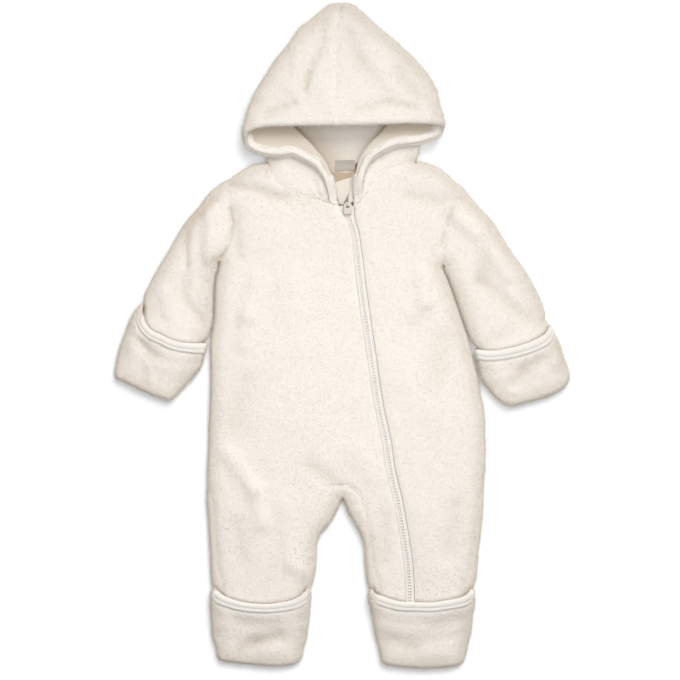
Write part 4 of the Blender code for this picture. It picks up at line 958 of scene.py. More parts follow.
def deep_inside(point):
    """The share of the reverse's tint, with painted shade: none on the hem, most in the hood's depth.
    """
    plan = np.array([[point.x, point.y]])
    if point.z < LOWER + 1:
        depth = NAPE_SHADE
        for line, (shade, reach) in zip(FOLD_LINES, FOLD_SHADES):
            depth += bump(distance(plan, line)[0], shade, reach)
    else:
        brow = min(distance(plan, line)[0] for line in BROW_LINES)
        depth = CROWN_SHADE + bump(brow - BROW_SHADE_PLACE, *BROW_SHADE)
    return min(depth, 1.0) * (1 - turned(point))


def turned_hem(point):
    """What the hem adds to the inside of the hood at a point of its skin."""
    away = hem_distance(point)
    start = float(ease((point.y - HEM_FOOT) / HEM_RISE))
    return HEM_EXTRA * start * roll(away) - bump(away - HEM_STITCH, *HEM_GROOVE["inside"])


def hem_outside(point):
    """What the hem adds to its outside, with a dip where it is sewn."""
    away = hem_distance(point)
    return HEM_ROLL * roll(away) - bump(away - HEM_STITCH, *HEM_GROOVE["outside"])


# ---------------------------------------------------------------- mitts and booties
BINDING_STEPS = (0.5, 1.3, 2.6, 3.9, 4.9, 5.6, 6.4, 7.4, 8.2, 8.9, BINDING_WIDTH)
BINDING_RISE = (-0.4, 0.1, 0.5, 0.75, 0.65, 0.4, 0.05, 0.15, 0.25, 0.4, 0.4, 0.15)
COVERED = {            # columns at a bag's outer and inner ends where fleece hides its binding
    "mitt_left": (8, 0),
    "mitt_right": (0, 0),
    "bootie_left": (3, 4),
    "bootie_right": (2, 6),
}
STITCH_ROWS = (6, 10)  # the rows of the binding that are sewn through
STITCH_ENDS = (4, 6)   # columns left unsewn at its two ends
STITCH_SUNK = 0.05     # how far its stitches lie below its surface
BAG_FADE = 12.0        # where the grid lets go of a side near its corners
BAG_SLOPES = ((4.0, 20.0), (24.0, 18.0))   # from the mouth, where the two slopes begin; lengths
BAG_FOLD_REACH = 7.0   # from the binding, over which the folds grow
BAG_FOLDS = [          # as the tables of folds above
    (-209, -4, -197, -21, 6, -1.5),
    (-220, -6, -219, -31, 6, 1.0),
    (-208, -38, -206, -50, 5, -1.0),
    (-172, -18, -184, -44, 7, 0.9),
    (210, -24, 191, -36, 7, -1.3),
    (191, -36, 178, -47, 7, -1.1),
    (160, -34, 176, -56, 6, 0.8),
    (222, -30, 206, -50, 6, 0.8),
    (-65, -313, -89, -321, 8, -1.6),
    (-89, -321, -106, -328, 7, -1.2),
    (-84, -331, -66, -328, 7, 1.0),
    (-104, -300, -70, -304, 9, -0.7),
    (-122, -292, -118, -326, 6, 0.8),
    (52, -318, 76, -326, 8, -1.2),
    (96, -304, 122, -298, 8, -0.9),
    (84, -334, 108, -330, 8, 0.9),
]
TROUGHS = [fold for table in (UPPER_FOLDS, HOOD_FOLDS, BAG_FOLDS) for fold in table if fold[-1] < 0]


def bag(table, name, binding):
    """A turn-over bag: upper layer with a bound mouth, lower layer, closed round its end."""
    rows = {key: divide(table[key], BAG_STEPS, BINDING_STEPS, EDGE_STEPS)
            for key in ("outer", "inner")}
    mouth = divide(table["mouth"], BAG_STEPS, EDGE_STEPS, EDGE_STEPS)
    end = divide(table["end"], BAG_STEPS, EDGE_STEPS, EDGE_STEPS)
    if np.linalg.norm(end[0] - rows["outer"][-1]) > 1:
        end = end[::-1]
    if np.linalg.norm(mouth[0] - rows["outer"][0]) > 1:
        mouth = mouth[::-1]
    seam = straight(mouth[0], mouth[-1], BAG_STEPS, EDGE_STEPS, EDGE_STEPS)
    edges = [smooth(table[key]) for key in ("outer", "inner", "end")]
    mouth_line = smooth(table["mouth"])
    skin = Skin([name, binding])

    def heights(plan, upper):
        flat = plan.reshape(-1, 2)
        deep = distance(flat, mouth_line)
        away = edge_distance(flat, edges)
        first, second = (ease((deep - start) / length) for start, length in BAG_SLOPES)
        top = BAG_MOUTH + (BAG_TUCKED - BAG_MOUTH) * first + (BAG_END - BAG_TUCKED) * second
        middle = (LOWER + top) / 2
        reach = (top - middle) if upper else (LOWER - middle)
        height = middle + reach * arc(away / EDGE)
        if upper:
            height += (folds(flat, BAG_FOLDS) * ease((deep - BINDING_WIDTH) / BAG_FOLD_REACH)
                       * ease(away / UPPER_FADE))
        return np.dstack([plan, height.reshape(plan.shape[:-1])])

    margin = len(EDGE_STEPS) + 1

    def spread(first):
        grid = hug(coons(first, end, rows["outer"], rows["inner"]), fade=BAG_FADE)
        return relax(grid, top=len(BINDING_STEPS) + 1, left=margin, right=margin)

    over = heights(spread(mouth), upper=True)
    under = heights(spread(seam), upper=False)
    first, last = COVERED[name]
    stop = over.shape[1] - last
    for row, rise in enumerate(BINDING_RISE):
        over[row, first:stop, 2] += rise
    bound = over[:len(BINDING_STEPS) + 1]
    if first:
        skin.patch(bound[:, :first + 1], name, up=True)
    if last:
        skin.patch(bound[:, stop - 1:], name, up=True)
    skin.patch(bound[:, first:stop], binding, up=True)
    skin.patch(over[len(BINDING_STEPS):], name, up=True)
    skin.patch(under, name, up=False)
    skin.weld()
    fleece = cut_out(skin, name)
    band = cut_out(skin, binding, thickness=BINDING, rough=0.2, seam_depth=0.25)
    skin.mesh.free()
    sewn = slice(first + STITCH_ENDS[0], stop - STITCH_ENDS[1])
    runs = [over[row, sewn] + (0, 0, BINDING / 2 - STITCH_SUNK) for row in STITCH_ROWS]
    return fleece, band, runs


# ---------------------------------------------------------------- node trees
def node(tree, kind, settings=None, **inputs):
    """A node with its settings and inputs; an input is a value or another node's output."""
    made = tree.nodes.new(kind)
    for name, value in (settings or {}).items():
        setattr(made, name, value)
    for name, value in inputs.items():
        socket = made.inputs[int(name[1:]) if name[0] == "_" else name.replace("_", " ")]
        if isinstance(value, bpy.types.NodeSocket):
            tree.links.new(value, socket)
        else:
            socket.default_value = value
    return made


def group(name, kind, inputs, outputs):
    """A node group with named sockets; inputs give a type and a default."""
    tree = bpy.data.node_groups.new(name, kind)
    for label, (socket, default) in inputs.items():
        made = tree.interface.new_socket(label, in_out="INPUT", socket_type=socket)
        if default is not None:
            made.default_value = default
    for label, socket in outputs.items():
        tree.interface.new_socket(label, in_out="OUTPUT", socket_type=socket)
    return tree, tree.nodes.new("NodeGroupInput").outputs, tree.nodes.new("NodeGroupOutput").inputs


def combined(tree, operation, first, second):
    return node(tree, "ShaderNodeMath", {"operation": operation}, _0=first, _1=second).outputs[0]


def toned(tree, given, out, tone, low, high, height):
    """Ends a cloth's effect: its tone, between two limits, mixes its two colours."""
    share = node(tree, "ShaderNodeMapRange", Value=tone, From_Min=low, From_Max=high)
    mix = node(tree, "ShaderNodeMix", {"data_type": "RGBA"}, _0=share.outputs[0],
               _6=given["Shade"], _7=given["Light"])
    tree.links.new(mix.outputs[2], out["Color"])
    tree.links.new(height, out["Height"])
    return tree


def wool_group():
    """Colour and height of nubby wool: soft clouds, nubs and the fine curls on them."""
    tree, given, out = group("Nubby wool", "ShaderNodeTree", {
        "Place": ("NodeSocketVector", None),
        "Light": ("NodeSocketColor", (0.9, 0.85, 0.77, 1)),
        "Shade": ("NodeSocketColor", (0.8, 0.73, 0.63, 1)),
        "Nubs per metre": ("NodeSocketFloat", 210.0),
        "Curls per metre": ("NodeSocketFloat", 620.0),
    }, {"Color": "NodeSocketColor", "Height": "NodeSocketFloat"})
    rough = node(tree, "ShaderNodeTexNoise", Vector=given["Place"], Scale=given["Nubs per metre"],
                 Detail=3.0, Roughness=0.6, Distortion=0.6)
    curls = node(tree, "ShaderNodeTexVoronoi", {"feature": "SMOOTH_F1"}, Vector=given["Place"],
                 Scale=given["Curls per metre"], Smoothness=0.6, Randomness=1.0)
    clouds = node(tree, "ShaderNodeTexNoise", Vector=given["Place"], Scale=17.0, Detail=3.0,
                  Roughness=0.5)
    fine = combined(tree, "MULTIPLY", curls.outputs["Distance"], -0.55)
    height = combined(tree, "ADD", rough.outputs["Fac"], fine)
    slow = combined(tree, "MULTIPLY", clouds.outputs["Fac"], 0.5)
    # the colour follows the relief, lighter on the nubs: painted shade in the hollows between them,
    # with random clouds of tone
    return toned(tree, given, out, combined(tree, "ADD", height, slow), 0.15, 0.8, height)


def weave_group():
    """Colour and height of a plain weave or knit rib, from two crossed sets of waves."""
    tree, given, out = group("Fine weave", "ShaderNodeTree", {
        "Place": ("NodeSocketVector", None),
        "Threads per metre": ("NodeSocketFloat", 1500.0),
        "Light": ("NodeSocketColor", (0.9, 0.87, 0.8, 1)),
        "Shade": ("NodeSocketColor", (0.7, 0.66, 0.58, 1)),
    }, {"Color": "NodeSocketColor", "Height": "NodeSocketFloat"})
    waves = [node(tree, "ShaderNodeTexWave", {"bands_direction": direction}, Vector=given["Place"],
                  Scale=given["Threads per metre"], Distortion=0.4, Detail=1.0).outputs["Fac"]
             for direction in ("X", "Y")]
    cross = combined(tree, "MULTIPLY", *waves)
    wear = node(tree, "ShaderNodeTexNoise", Vector=given["Place"], Scale=160.0, Detail=4.0)
    # lighter where the threads rise: partly the weave's pattern, partly painted shade where they dip,
    # with random tone from the noise
    tone = combined(tree, "ADD", cross, wear.outputs["Fac"])
    return toned(tree, given, out, tone, 0.3, 1.2, cross)


def new_material(name):
    """A material, its tree, its shader's inputs and the place on the object, to build on."""
    paint = bpy.data.materials.new(name)
    paint.use_nodes = True
    tree = paint.node_tree
    place = node(tree, "ShaderNodeTexCoord").outputs["Object"]
    return paint, tree, tree.nodes["Principled BSDF"].inputs, place


def cloth_material(name, effect, light, shade, values, strength, depth, sheen=0.0, roughness=0.95,
                   reverse=None):
    """A cloth: an effect's colour and height on object coordinates, in a soft shader."""
    paint, tree, shader, place = new_material(name)
    used = node(tree, "ShaderNodeGroup", {"node_tree": effect}, Place=place, Light=(*light, 1),
                Shade=(*shade, 1))
    for label, value in values.items():
        used.inputs[label].default_value = value
    relief = node(tree, "ShaderNodeBump", Height=used.outputs["Height"], Strength=strength,
                  Distance=depth)
    tone = used.outputs["Color"]
    # the reverse's tint, by the point attribute: the cloth's inner side and the painted shade
    if reverse:
        side = node(tree, "ShaderNodeAttribute", {"attribute_name": "reverse"})
        tone = node(tree, "ShaderNodeMix", {"data_type": "RGBA", "blend_type": "MULTIPLY"},
                    _0=side.outputs["Fac"], _6=tone, _7=(*reverse, 1)).outputs[2]
    tree.links.new(tone, shader["Base Color"])
    tree.links.new(relief.outputs["Normal"], shader["Normal"])
    shader["Roughness"].default_value = roughness
    shader["Specular IOR Level"].default_value = 0.12
    shader["Sheen Weight"].default_value = sheen
    shader["Sheen Roughness"].default_value = 0.6
    return paint


def metal_material(colour):
    """Satin nickel, a little worn: fine brushing in its roughness, small dents in its surface."""
    paint, tree, shader, place = new_material("Satin metal")
    grain = node(tree, "ShaderNodeTexNoise", Vector=place, Scale=900.0, Detail=4.0)
    rough = node(tree, "ShaderNodeMapRange", Value=grain.outputs["Fac"], To_Min=0.24, To_Max=0.48)
    wear_and_painted_shade = node(tree, "ShaderNodeTexNoise", Vector=place, Scale=260.0, Detail=2.0)
    dark = [part * share for part, share in zip(colour, (0.82, 0.81, 0.8))]
    tint = node(tree, "ShaderNodeMix", {"data_type": "RGBA"}, _0=wear_and_painted_shade.outputs["Fac"], _6=(*dark, 1),
                _7=(*colour, 1))
    relief = node(tree, "ShaderNodeBump", Height=grain.outputs["Fac"], Strength=0.15,
                  Distance=0.00005)
    tree.links.new(rough.outputs[0], shader["Roughness"])
    tree.links.new(tint.outputs[2], shader["Base Color"])
    tree.links.new(relief.outputs["Normal"], shader["Normal"])
    shader["Metallic"].default_value = 1.0
    return paint


# ---------------------------------------------------------------- geometry made by node trees
def finished(tree, geometry, given, out):
    """Ends a tree: its instances made real and given their material."""
    real = node(tree, "GeometryNodeRealizeInstances", Geometry=geometry)
    done = node(tree, "GeometryNodeSetMaterial", Geometry=real.outputs[0],
                Material=given["Material"])
    tree.links.new(done.outputs[0], out["Geometry"])
    return tree


def nap_tree():
    """Short curly fibres scattered over the outer face, leaning every way."""
    tree, given, out = group("Wool fibres", "GeometryNodeTree", {
        "Geometry": ("NodeSocketGeometry", None),
        "Fibres per square metre": ("NodeSocketFloat", 600000.0),
        "Length": ("NodeSocketFloat", 0.0022),
        "Width": ("NodeSocketFloat", 0.0002),
        "Lean": ("NodeSocketFloat", 1.1),
        "Seed": ("NodeSocketInt", 3),
        "Material": ("NodeSocketMaterial", None),
    }, {"Geometry": "NodeSocketGeometry"})
    pile = node(tree, "GeometryNodeInputNamedAttribute", {"data_type": "FLOAT"}, Name="pile")
    density = combined(tree, "MULTIPLY", pile.outputs["Attribute"],
                       given["Fibres per square metre"])
    points = node(tree, "GeometryNodeDistributePointsOnFaces", Mesh=given["Geometry"],
                  Density=density, Seed=given["Seed"])
    strand = node(tree, "GeometryNodeMeshGrid", Size_X=given["Width"], Size_Y=given["Length"],
                  Vertices_X=2, Vertices_Y=2)
    lift = node(tree, "ShaderNodeCombineXYZ", Z=combined(tree, "MULTIPLY", given["Length"], 0.5))
    upright = node(tree, "GeometryNodeTransform", Geometry=strand.outputs["Mesh"],
                   Translation=lift.outputs[0], Rotation=(math.pi / 2, 0, 0))
    lean = combined(tree, "MULTIPLY", given["Lean"], -1.0)
    low = node(tree, "ShaderNodeCombineXYZ", X=lean, Y=lean, Z=-math.pi)
    high = node(tree, "ShaderNodeCombineXYZ", X=given["Lean"], Y=given["Lean"], Z=math.pi)
    turn = node(tree, "FunctionNodeRandomValue", {"data_type": "FLOAT_VECTOR"}, _0=low.outputs[0],
                _1=high.outputs[0], Seed=given["Seed"])
    leaning = node(tree, "FunctionNodeRotateRotation", {"rotation_space": "LOCAL"},
                   Rotation=points.outputs["Rotation"], Rotate_By=turn.outputs["Value"])
    size = node(tree, "FunctionNodeRandomValue", {"data_type": "FLOAT"}, _2=0.5, _3=1.3,
                Seed=given["Seed"])
    placed = node(tree, "GeometryNodeInstanceOnPoints", Points=points.outputs["Points"],
                  Instance=upright.outputs[0], Rotation=leaning.outputs[0], Scale=size.outputs[1])
    return finished(tree, placed.outputs[0], given, out)


def beads_tree():
    """Small rounded blocks along a line at an even pitch: zip teeth or stitches."""
    tree, given, out = group("Beads along a line", "GeometryNodeTree", {
        "Geometry": ("NodeSocketGeometry", None),
        "Pitch": ("NodeSocketFloat", 0.003),
        "Start": ("NodeSocketFloat", 0.0),
        "Size": ("NodeSocketVector", (0.001, 0.002, 0.001)),
        "Roundness": ("NodeSocketInt", 1),
        "Material": ("NodeSocketMaterial", None),
    }, {"Geometry": "NodeSocketGeometry"})
    curve = node(tree, "GeometryNodeMeshToCurve", Mesh=given["Geometry"])
    length = node(tree, "GeometryNodeCurveLength", Curve=curve.outputs[0])
    trimmed = node(tree, "GeometryNodeTrimCurve", {"mode": "LENGTH"}, Curve=curve.outputs[0],
                   _4=given["Start"], _5=length.outputs[0])
    even = node(tree, "GeometryNodeResampleCurve", {"mode": "LENGTH"}, Curve=trimmed.outputs[0],
                Length=given["Pitch"])
    along = node(tree, "GeometryNodeInputTangent")
    turn = node(tree, "FunctionNodeAxesToRotation", {"primary_axis": "Y", "secondary_axis": "Z"},
                Primary_Axis=along.outputs[0], Secondary_Axis=(0, 0, 1))
    block = node(tree, "GeometryNodeMeshCube", Size=given["Size"])
    smooth_block = node(tree, "GeometryNodeSubdivisionSurface", Mesh=block.outputs["Mesh"],
                        Level=given["Roundness"], Edge_Crease=0.35)
    placed = node(tree, "GeometryNodeInstanceOnPoints", Points=even.outputs[0],
                  Instance=smooth_block.outputs[0], Rotation=turn.outputs[0])
    return finished(tree, placed.outputs[0], given, out)


def grown(source, tree, name, values):
    """The plain mesh that a node tree makes from an object, which stays as it was."""
    modifier = source.modifiers.new(name, "NODES")
    modifier.node_group = tree
    sockets = {item.name: item.identifier for item in tree.interface.items_tree
               if item.item_type == "SOCKET" and item.in_out == "INPUT"}
    for label, value in values.items():
        modifier[sockets[label]] = value
    graph = bpy.context.evaluated_depsgraph_get()
    graph.update()
    mesh = bpy.data.meshes.new_from_object(source.evaluated_get(graph), depsgraph=graph)
    mesh.name = name
    source.modifiers.remove(modifier)
    return link(name, mesh)


# ---------------------------------------------------------------- zip
TAPE_LIFT = -1.0       # bottom of the tape, from the middle of the cloth beside it
TAPE_THICK = 1.1
TAPE_CORD = 0.35       # height of the cord along the tape's inner edge
TOOTH = (2.5, 1.55, 1.5)             # across the zip, along it and upwards
TOOTH_PITCH = 3.1
TOOTH_SHIFT = 0.75     # from the zip's middle to the middle of a tooth
TOOTH_FLOOR = 0.35     # middle of a tooth over the tape
TEETH_START = 6.0      # where the teeth come out from under the slider


def zip_stations():
    """The zip's middle, its two outer edges and the height of the tape's floor at each row."""
    edges = {side: join(*zip_line(side)) for side in SIDES}
    middle = (edges["left"] + edges["right"]) / 2
    cloth = body_upper(middle)[:, 2]
    last = cloth[-1]
    for step in np.linspace(0, TUCK, TUCK_ROWS + 1)[1:-2]:
        sunk = ease((step - LEG_FLAT) / (TUCK - LEG_FLAT))
        middle = np.vstack([middle, middle[-1] - (0, TUCK / TUCK_ROWS)])
        for side in edges:
            edges[side] = np.vstack([edges[side], edges[side][-1] - (0, TUCK / TUCK_ROWS)])
        cloth = np.append(cloth, last * (1 - sunk) + TUCK_END * sunk)
    return middle, edges, cloth + TAPE_LIFT


def zip_tape(side):
    """One half of the tape: flat, with a corded inner edge under the teeth."""
    middle, edges, floor = zip_stations()
    rings = []
    for near, far, low in zip(middle, edges[side], floor):
        width = np.linalg.norm(far - near)
        out = (far - near) / width
        top = low + TAPE_THICK
        end = width - SEAM / 2
        profile = [(SEAM / 2, low), (width * 0.5, low), (end, low), (end, top - 0.2),
                   (width - 0.6, top), (width * 0.62, top), (1.7, top), (1.2, top + TAPE_CORD),
                   (0.6, top + TAPE_CORD), (SEAM / 2, top)]
        rings.append([(*(near + out * reach), height) for reach, height in profile])
    return tube(f"zip_tape_{side}_new", rings, material("tape"), flip=side == "left")


def line_object(name, points):
    """A line through points in millimetres of the plan, as a mesh of edges for a node tree."""
    mesh = bpy.data.meshes.new(name)
    placed = (np.array(points, float) - (*CENTRE, 0)) * MM
    mesh.from_pydata(placed, [(at, at + 1) for at in range(len(placed) - 1)], [])
    return link(name, mesh)


def beads(name, runs, size, pitch, material, start=0.0):
    """Beads along one or more runs, joined in one piece."""
    rows = []
    for run in runs:
        guide = line_object("guide", run)
        rows.append(grown(guide, effect(beads_tree), name, {
            "Pitch": pitch * MM, "Start": start * MM, "Size": [part * MM for part in size],
            "Material": material}))
        bpy.data.objects.remove(guide, do_unlink=True)
    return merged(name, rows)


def merged(name, items):
    """Several meshes as one object."""
    joined = bmesh.new()
    material = items[0].data.materials[0]
    for item in items:
        joined.from_mesh(item.data)
        bpy.data.objects.remove(item, do_unlink=True)
    mesh = bpy.data.meshes.new(name)
    joined.to_mesh(mesh)
    joined.free()
    mesh.materials.append(material)
    mesh.shade_smooth()
    return link(name, mesh)


def zip_teeth(side):
    middle, edges, floor = zip_stations()
    out = (edges[side] - middle) / np.linalg.norm(edges[side] - middle, axis=1)[:, None]
    run = np.column_stack([middle + out * TOOTH_SHIFT, floor + TAPE_THICK + TOOTH_FLOOR])
    start = TEETH_START + (TOOTH_PITCH / 2 if side == "right" else 0)
    return beads("zip_teeth_" + side, [run], TOOTH, TOOTH_PITCH, material("teeth"), start)


GUARD_SHADE = 0.3      # painted shade on the guard, as a share of the reverse's tint
TAPE_END = [(15.6, 169.4), (13.6, 161), (11.4, 152), (9.8, 145), (9.2, 141)]   # beside the guard
TAPE_END_SIZE = (3.3, 1.7)    # half its width and half its height
TAPE_END_TIP = 0.62    # how much of that size it keeps at its two ends
TAPE_END_STEPS = 16
TAPE_END_SIDES = 14


def tint(item, share):
    """Paints shade over the whole of an object, as one share of the reverse's tint."""
    reverse = item.data.attributes.new("reverse", "FLOAT", "POINT")
    reverse.data.foreach_set("value", [share] * len(item.data.vertices))


def tape_end():
    """The top end of the zip's right edge, rolled up in its facing beside the guard."""
    line = divide(TAPE_END, TAPE_END_STEPS)
    aside = np.gradient(line, axis=0) @ [[0, 1], [-1, 0]]
    aside /= np.linalg.norm(aside, axis=1)[:, None]
    wide, high = TAPE_END_SIZE
    rings = []
    for place, side, share in zip(line, aside, np.linspace(0, 1, len(line))):
        swell = math.sin(math.pi * min(1, 0.5 + 3 * min(share, 1 - share)) / 2)
        size = TAPE_END_TIP + (1 - TAPE_END_TIP) * swell
        rings.append([(*(place + side * wide * size * math.cos(turn)),
                       LYING + high * (1 + size * math.sin(turn)))
                      for turn in np.linspace(0, 2 * math.pi, TAPE_END_SIDES, endpoint=False)])
    item = tube("tape_end", rings, material("fleece"))
    # painted shade, half the guard's
    tint(item, GUARD_SHADE / 2)
    return item


def softened(name, source, material):
    """A copy of a hard node with its edges rounded off."""
    shape = bmesh.new()
    shape.from_mesh(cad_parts[source].data)
    bmesh.ops.remove_doubles(shape, verts=shape.verts, dist=0.01 * MM)
    bmesh.ops.dissolve_limit(shape, angle_limit=math.radians(1), verts=shape.verts,
                             edges=shape.edges)
    sharp = [edge for edge in shape.edges
             if len(edge.link_faces) == 2 and edge.calc_face_angle() > BEVELLED]
    bmesh.ops.bevel(shape, geom=sharp, offset=ROUNDING[name] * MM, segments=3, profile=0.5,
                    affect="EDGES", clamp_overlap=True)
    bmesh.ops.triangulate(shape, faces=[face for face in shape.faces if len(face.verts) > 4])
    mesh = bpy.data.meshes.new(name)
    shape.to_mesh(mesh)
    shape.free()
    mesh.materials.clear()
    mesh.materials.append(material)
    mesh.shade_smooth()
    mesh.set_sharp_from_angle(angle=math.radians(METAL_SHARP))
    return link(name, mesh)


# ---------------------------------------------------------------- sewing
STITCH = (0.7, 2.3, 0.55)            # across the seam, along it and upwards
STITCH_PITCH = 2.9
STITCH_ABOVE = 0.05    # from the cloth to the middle of a stitch
HEM_SEWING = {         # line, its points in use, a place on the cloth, where the drop starts
    "brow": (HOOD_BROW, slice(8, None), (0, 300), 60.0),
    "rim": (HOOD_RIM, slice(24, -12), (0, 215), 19.5),
}


def drop(points, item, start):
    """Plan points set on an object's surface, met from the given height downwards."""
    placed = []
    for x, y in points:
        origin = Vector(((x - CENTRE[0]) * MM, (y - CENTRE[1]) * MM, start * MM))
        hit, where, _, _ = item.ray_cast(origin, Vector((0, 0, -1)))
        if hit:
            placed.append((x, y, where.z / MM + STITCH_ABOVE))
    return placed


def beside(run, inner, width):
    """The run moved sideways by a width, to the side where the inner point lies."""
    line = np.array(run, float)
    along = np.gradient(line, axis=0)
    aside = sideways(along)
    turn = np.sign(((np.array(inner) - line.mean(0)) * aside.mean(0)).sum())
    return line + aside * turn * width


# ---------------------------------------------------------------- label and tab
LYING = CLOTH + SEAM
LABEL_BOX = (-6.6, 174.6, 14.4, 185.5)
LABEL_THICK = 0.6
SEWN_SHARE = 2 / 7     # of its height, from the top, that lies sewn down
LABEL_WAVE = 0.35      # how far its free edge lifts
LABEL_CELLS = (40, 16)
TAB_BOX = (14.8, 175.4, 18.2, 182)
TAB_WAVE = 0.1
TAB_CELLS = (8, 12)


def woven_patch(name, box, wave, cells, material):
    """A small piece of woven ribbon, a little wavy along its free lower edge."""
    x0, y0, x1, y1 = box
    columns, rows = cells
    across, down = np.meshgrid(np.linspace(0, 1, columns), np.linspace(0, 1, rows))
    free = ease((down - SEWN_SHARE) / (1 - SEWN_SHARE))
    lift = wave * free * (1 + np.sin(across * 9.0 + 0.6) * 0.8)
    x = x0 + (x1 - x0) * across
    y = y1 + (y0 - y1) * down - 0.5 * free * np.sin(across * 7.5)
    layers = [np.dstack([x, y, LYING + lift + level]).reshape(-1, 3) for level in (LABEL_THICK, 0)]
    quads = []
    for row in range(rows - 1):
        for column in range(columns - 1):
            at = row * columns + column
            quad = [at, at + columns, at + columns + 1, at + 1]
            quads += [quad, [corner + rows * columns for corner in reversed(quad)]]
    rim = [*range(columns), *range(2 * columns - 1, rows * columns, columns),
           *range(rows * columns - 2, (rows - 1) * columns - 1, -1),
           *range((rows - 2) * columns, 0, -columns)]
    for here, there in zip(rim, rim[1:] + rim[:1]):
        quads.append([here, there, there + rows * columns, here + rows * columns])
    return solid(name, np.vstack(layers), quads, material)


# ---------------------------------------------------------------- settings
def colour(name, description, default):
    return FloatVectorProperty(name=name, description=description, subtype="COLOR", size=3, min=0,
                               max=1, default=default)


class ClothSettings(bpy.types.PropertyGroup):
    """The fleece."""
    light: colour("Fleece", "Colour of the fleece", (0.885, 0.838, 0.775))
    # the darker colour of the nap's tone: painted shade between the curls, and random tone
    shade: colour("Between curls", "Colour deep in the nap", (0.845, 0.793, 0.722))
    # tint of the inner side, used also for the painted shade outside and inside the hood
    reverse: colour("Reverse", "Tint of the cloth's inner side", (0.56, 0.47, 0.36))
    fibres: FloatProperty(name="Fibres per square metre", description="Density of the nap",
                          min=0, default=520000)
    length: FloatProperty(name="Fibre length", description="Length of the nap's fibres",
                          subtype="DISTANCE", unit="LENGTH", min=0, default=0.0022)
    seed: IntProperty(name="Seed", description="Another scatter of the fibres", default=3)


class TrimSettings(bpy.types.PropertyGroup):
    """Bindings, thread, zip and label."""
    binding: colour("Binding", "Colour of the bound edges", (0.885, 0.838, 0.768))
    thread: colour("Thread", "Colour of the stitches", (0.93, 0.885, 0.815))
    tape: colour("Zip tape", "Colour of the zip's tape and teeth", (0.88, 0.83, 0.76))
    metal: colour("Slider", "Colour of the zip's slider and pull tab", (0.47, 0.44, 0.39))
    label: colour("Label", "Colour of the neck label", (0.62, 0.57, 0.49))
    red: colour("Side tab", "Colour of the tab beside the label", (0.34, 0.05, 0.04))


class StageSettings(bpy.types.PropertyGroup):
    """Floor, light and camera."""
    key: FloatProperty(name="Key light", description="Strength of the light from beyond the hood",
                       min=0, default=1.85)
    soft: FloatProperty(name="Top light", description="Power of the large light over the chest",
                        subtype="POWER", min=0, default=2.6)
    fill: FloatProperty(name="Sky", description="Strength of the light all round, overhead", min=0,
                        default=0.25)
    height: FloatProperty(name="Camera height", description="Height of the camera over the floor",
                          subtype="DISTANCE", unit="LENGTH", min=0.5, default=1.991)


SUIT, PULL = "suit", "pull"
made = {}              # effects, materials and panels, by name


def fitted(item, source=None, body=SUIT):
    """Puts a piece on its body, in place of the node it stands for."""
    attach(item, body)
    if source:
        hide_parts(source)
    return item


def effect(maker):
    """A node tree, built once."""
    if maker.__name__ not in made:
        made[maker.__name__] = maker()
    return made[maker.__name__]


# label, values of the wool effect, strength and depth of its relief, sheen
FLEECES = {
    "fleece": ("Fleece", {"Nubs per metre": 230.0, "Curls per metre": 640.0}, 0.4, 0.0009, 0.12),
    "nap": ("Fleece nap", {}, 0.0, 0.0005, 0.1),
}
# label, setting of its colour, lighter and darker shares of it, threads per metre, strength and
# depth of its relief, sheen, roughness
WEAVES = {
    "binding": ("Binding", "binding", 1.0, 0.9, 620.0, 0.3, 0.0003, 0.05, 0.8),
    "thread": ("Thread", "thread", 1.0, 0.86, 1600.0, 0.3, 0.0002, 0.0, 0.6),
    "tape": ("Zip tape", "tape", 1.0, 0.92, 900.0, 0.4, 0.0002, 0.0, 0.75),
    "teeth": ("Zip teeth", "tape", 1.05, 1.0, 300.0, 0.1, 0.0001, 0.0, 0.6),
    "label": ("Label", "label", 1.0, 0.72, 900.0, 0.6, 0.0003, 0.0, 0.8),
    "red": ("Side tab", "red", 1.0, 0.6, 1100.0, 0.4, 0.0002, 0.0, 0.8),
}


def material(name):
    """A material by its name, built once from the settings."""
    if name in made:
        return made[name]
    cloth, trim = bpy.context.scene.pramsuit_cloth, bpy.context.scene.pramsuit_trim
    if name in FLEECES:
        label, values, strength, depth, sheen = FLEECES[name]
        made[name] = cloth_material(label, effect(wool_group), cloth.light, cloth.shade, values,
                                    strength, depth, sheen, reverse=cloth.reverse)
    elif name in WEAVES:
        label, setting, lighter, darker, threads, strength, depth, sheen, rough = WEAVES[name]
        base = getattr(trim, setting)
        made[name] = cloth_material(label, effect(weave_group), [part * lighter for part in base],
                                    [part * darker for part in base],
                                    {"Threads per metre": threads}, strength, depth, sheen, rough)
    else:
        made[name] = metal_material(trim.metal)
    return made[name]


def cloth_piece(item):
    """A cut of cloth: it stands for the node that it is named after."""
    fitted(item, item.name.removesuffix("_cloth"))


def fibres(item):
    """The nap on a piece of fleece, as a piece of its own."""
    cloth = bpy.context.scene.pramsuit_cloth
    item.data.materials.append(material("fleece"))
    nap = grown(item, effect(nap_tree), "nap_" + item.name.removesuffix("_cloth"), {
        "Fibres per square metre": cloth.fibres, "Length": cloth.length, "Seed": cloth.seed,
        "Material": material("nap")})
    points = np.empty(len(nap.data.vertices) * 3, np.float32)
    nap.data.vertices.foreach_get("co", points)
    points[2::3] = np.maximum(points[2::3], 0)
    nap.data.vertices.foreach_set("co", points)
    return fitted(nap)


def sewing(name, runs):
    """Stitches along runs, as a piece of its own."""
    return fitted(beads(name, runs, STITCH, STITCH_PITCH, material("thread")))


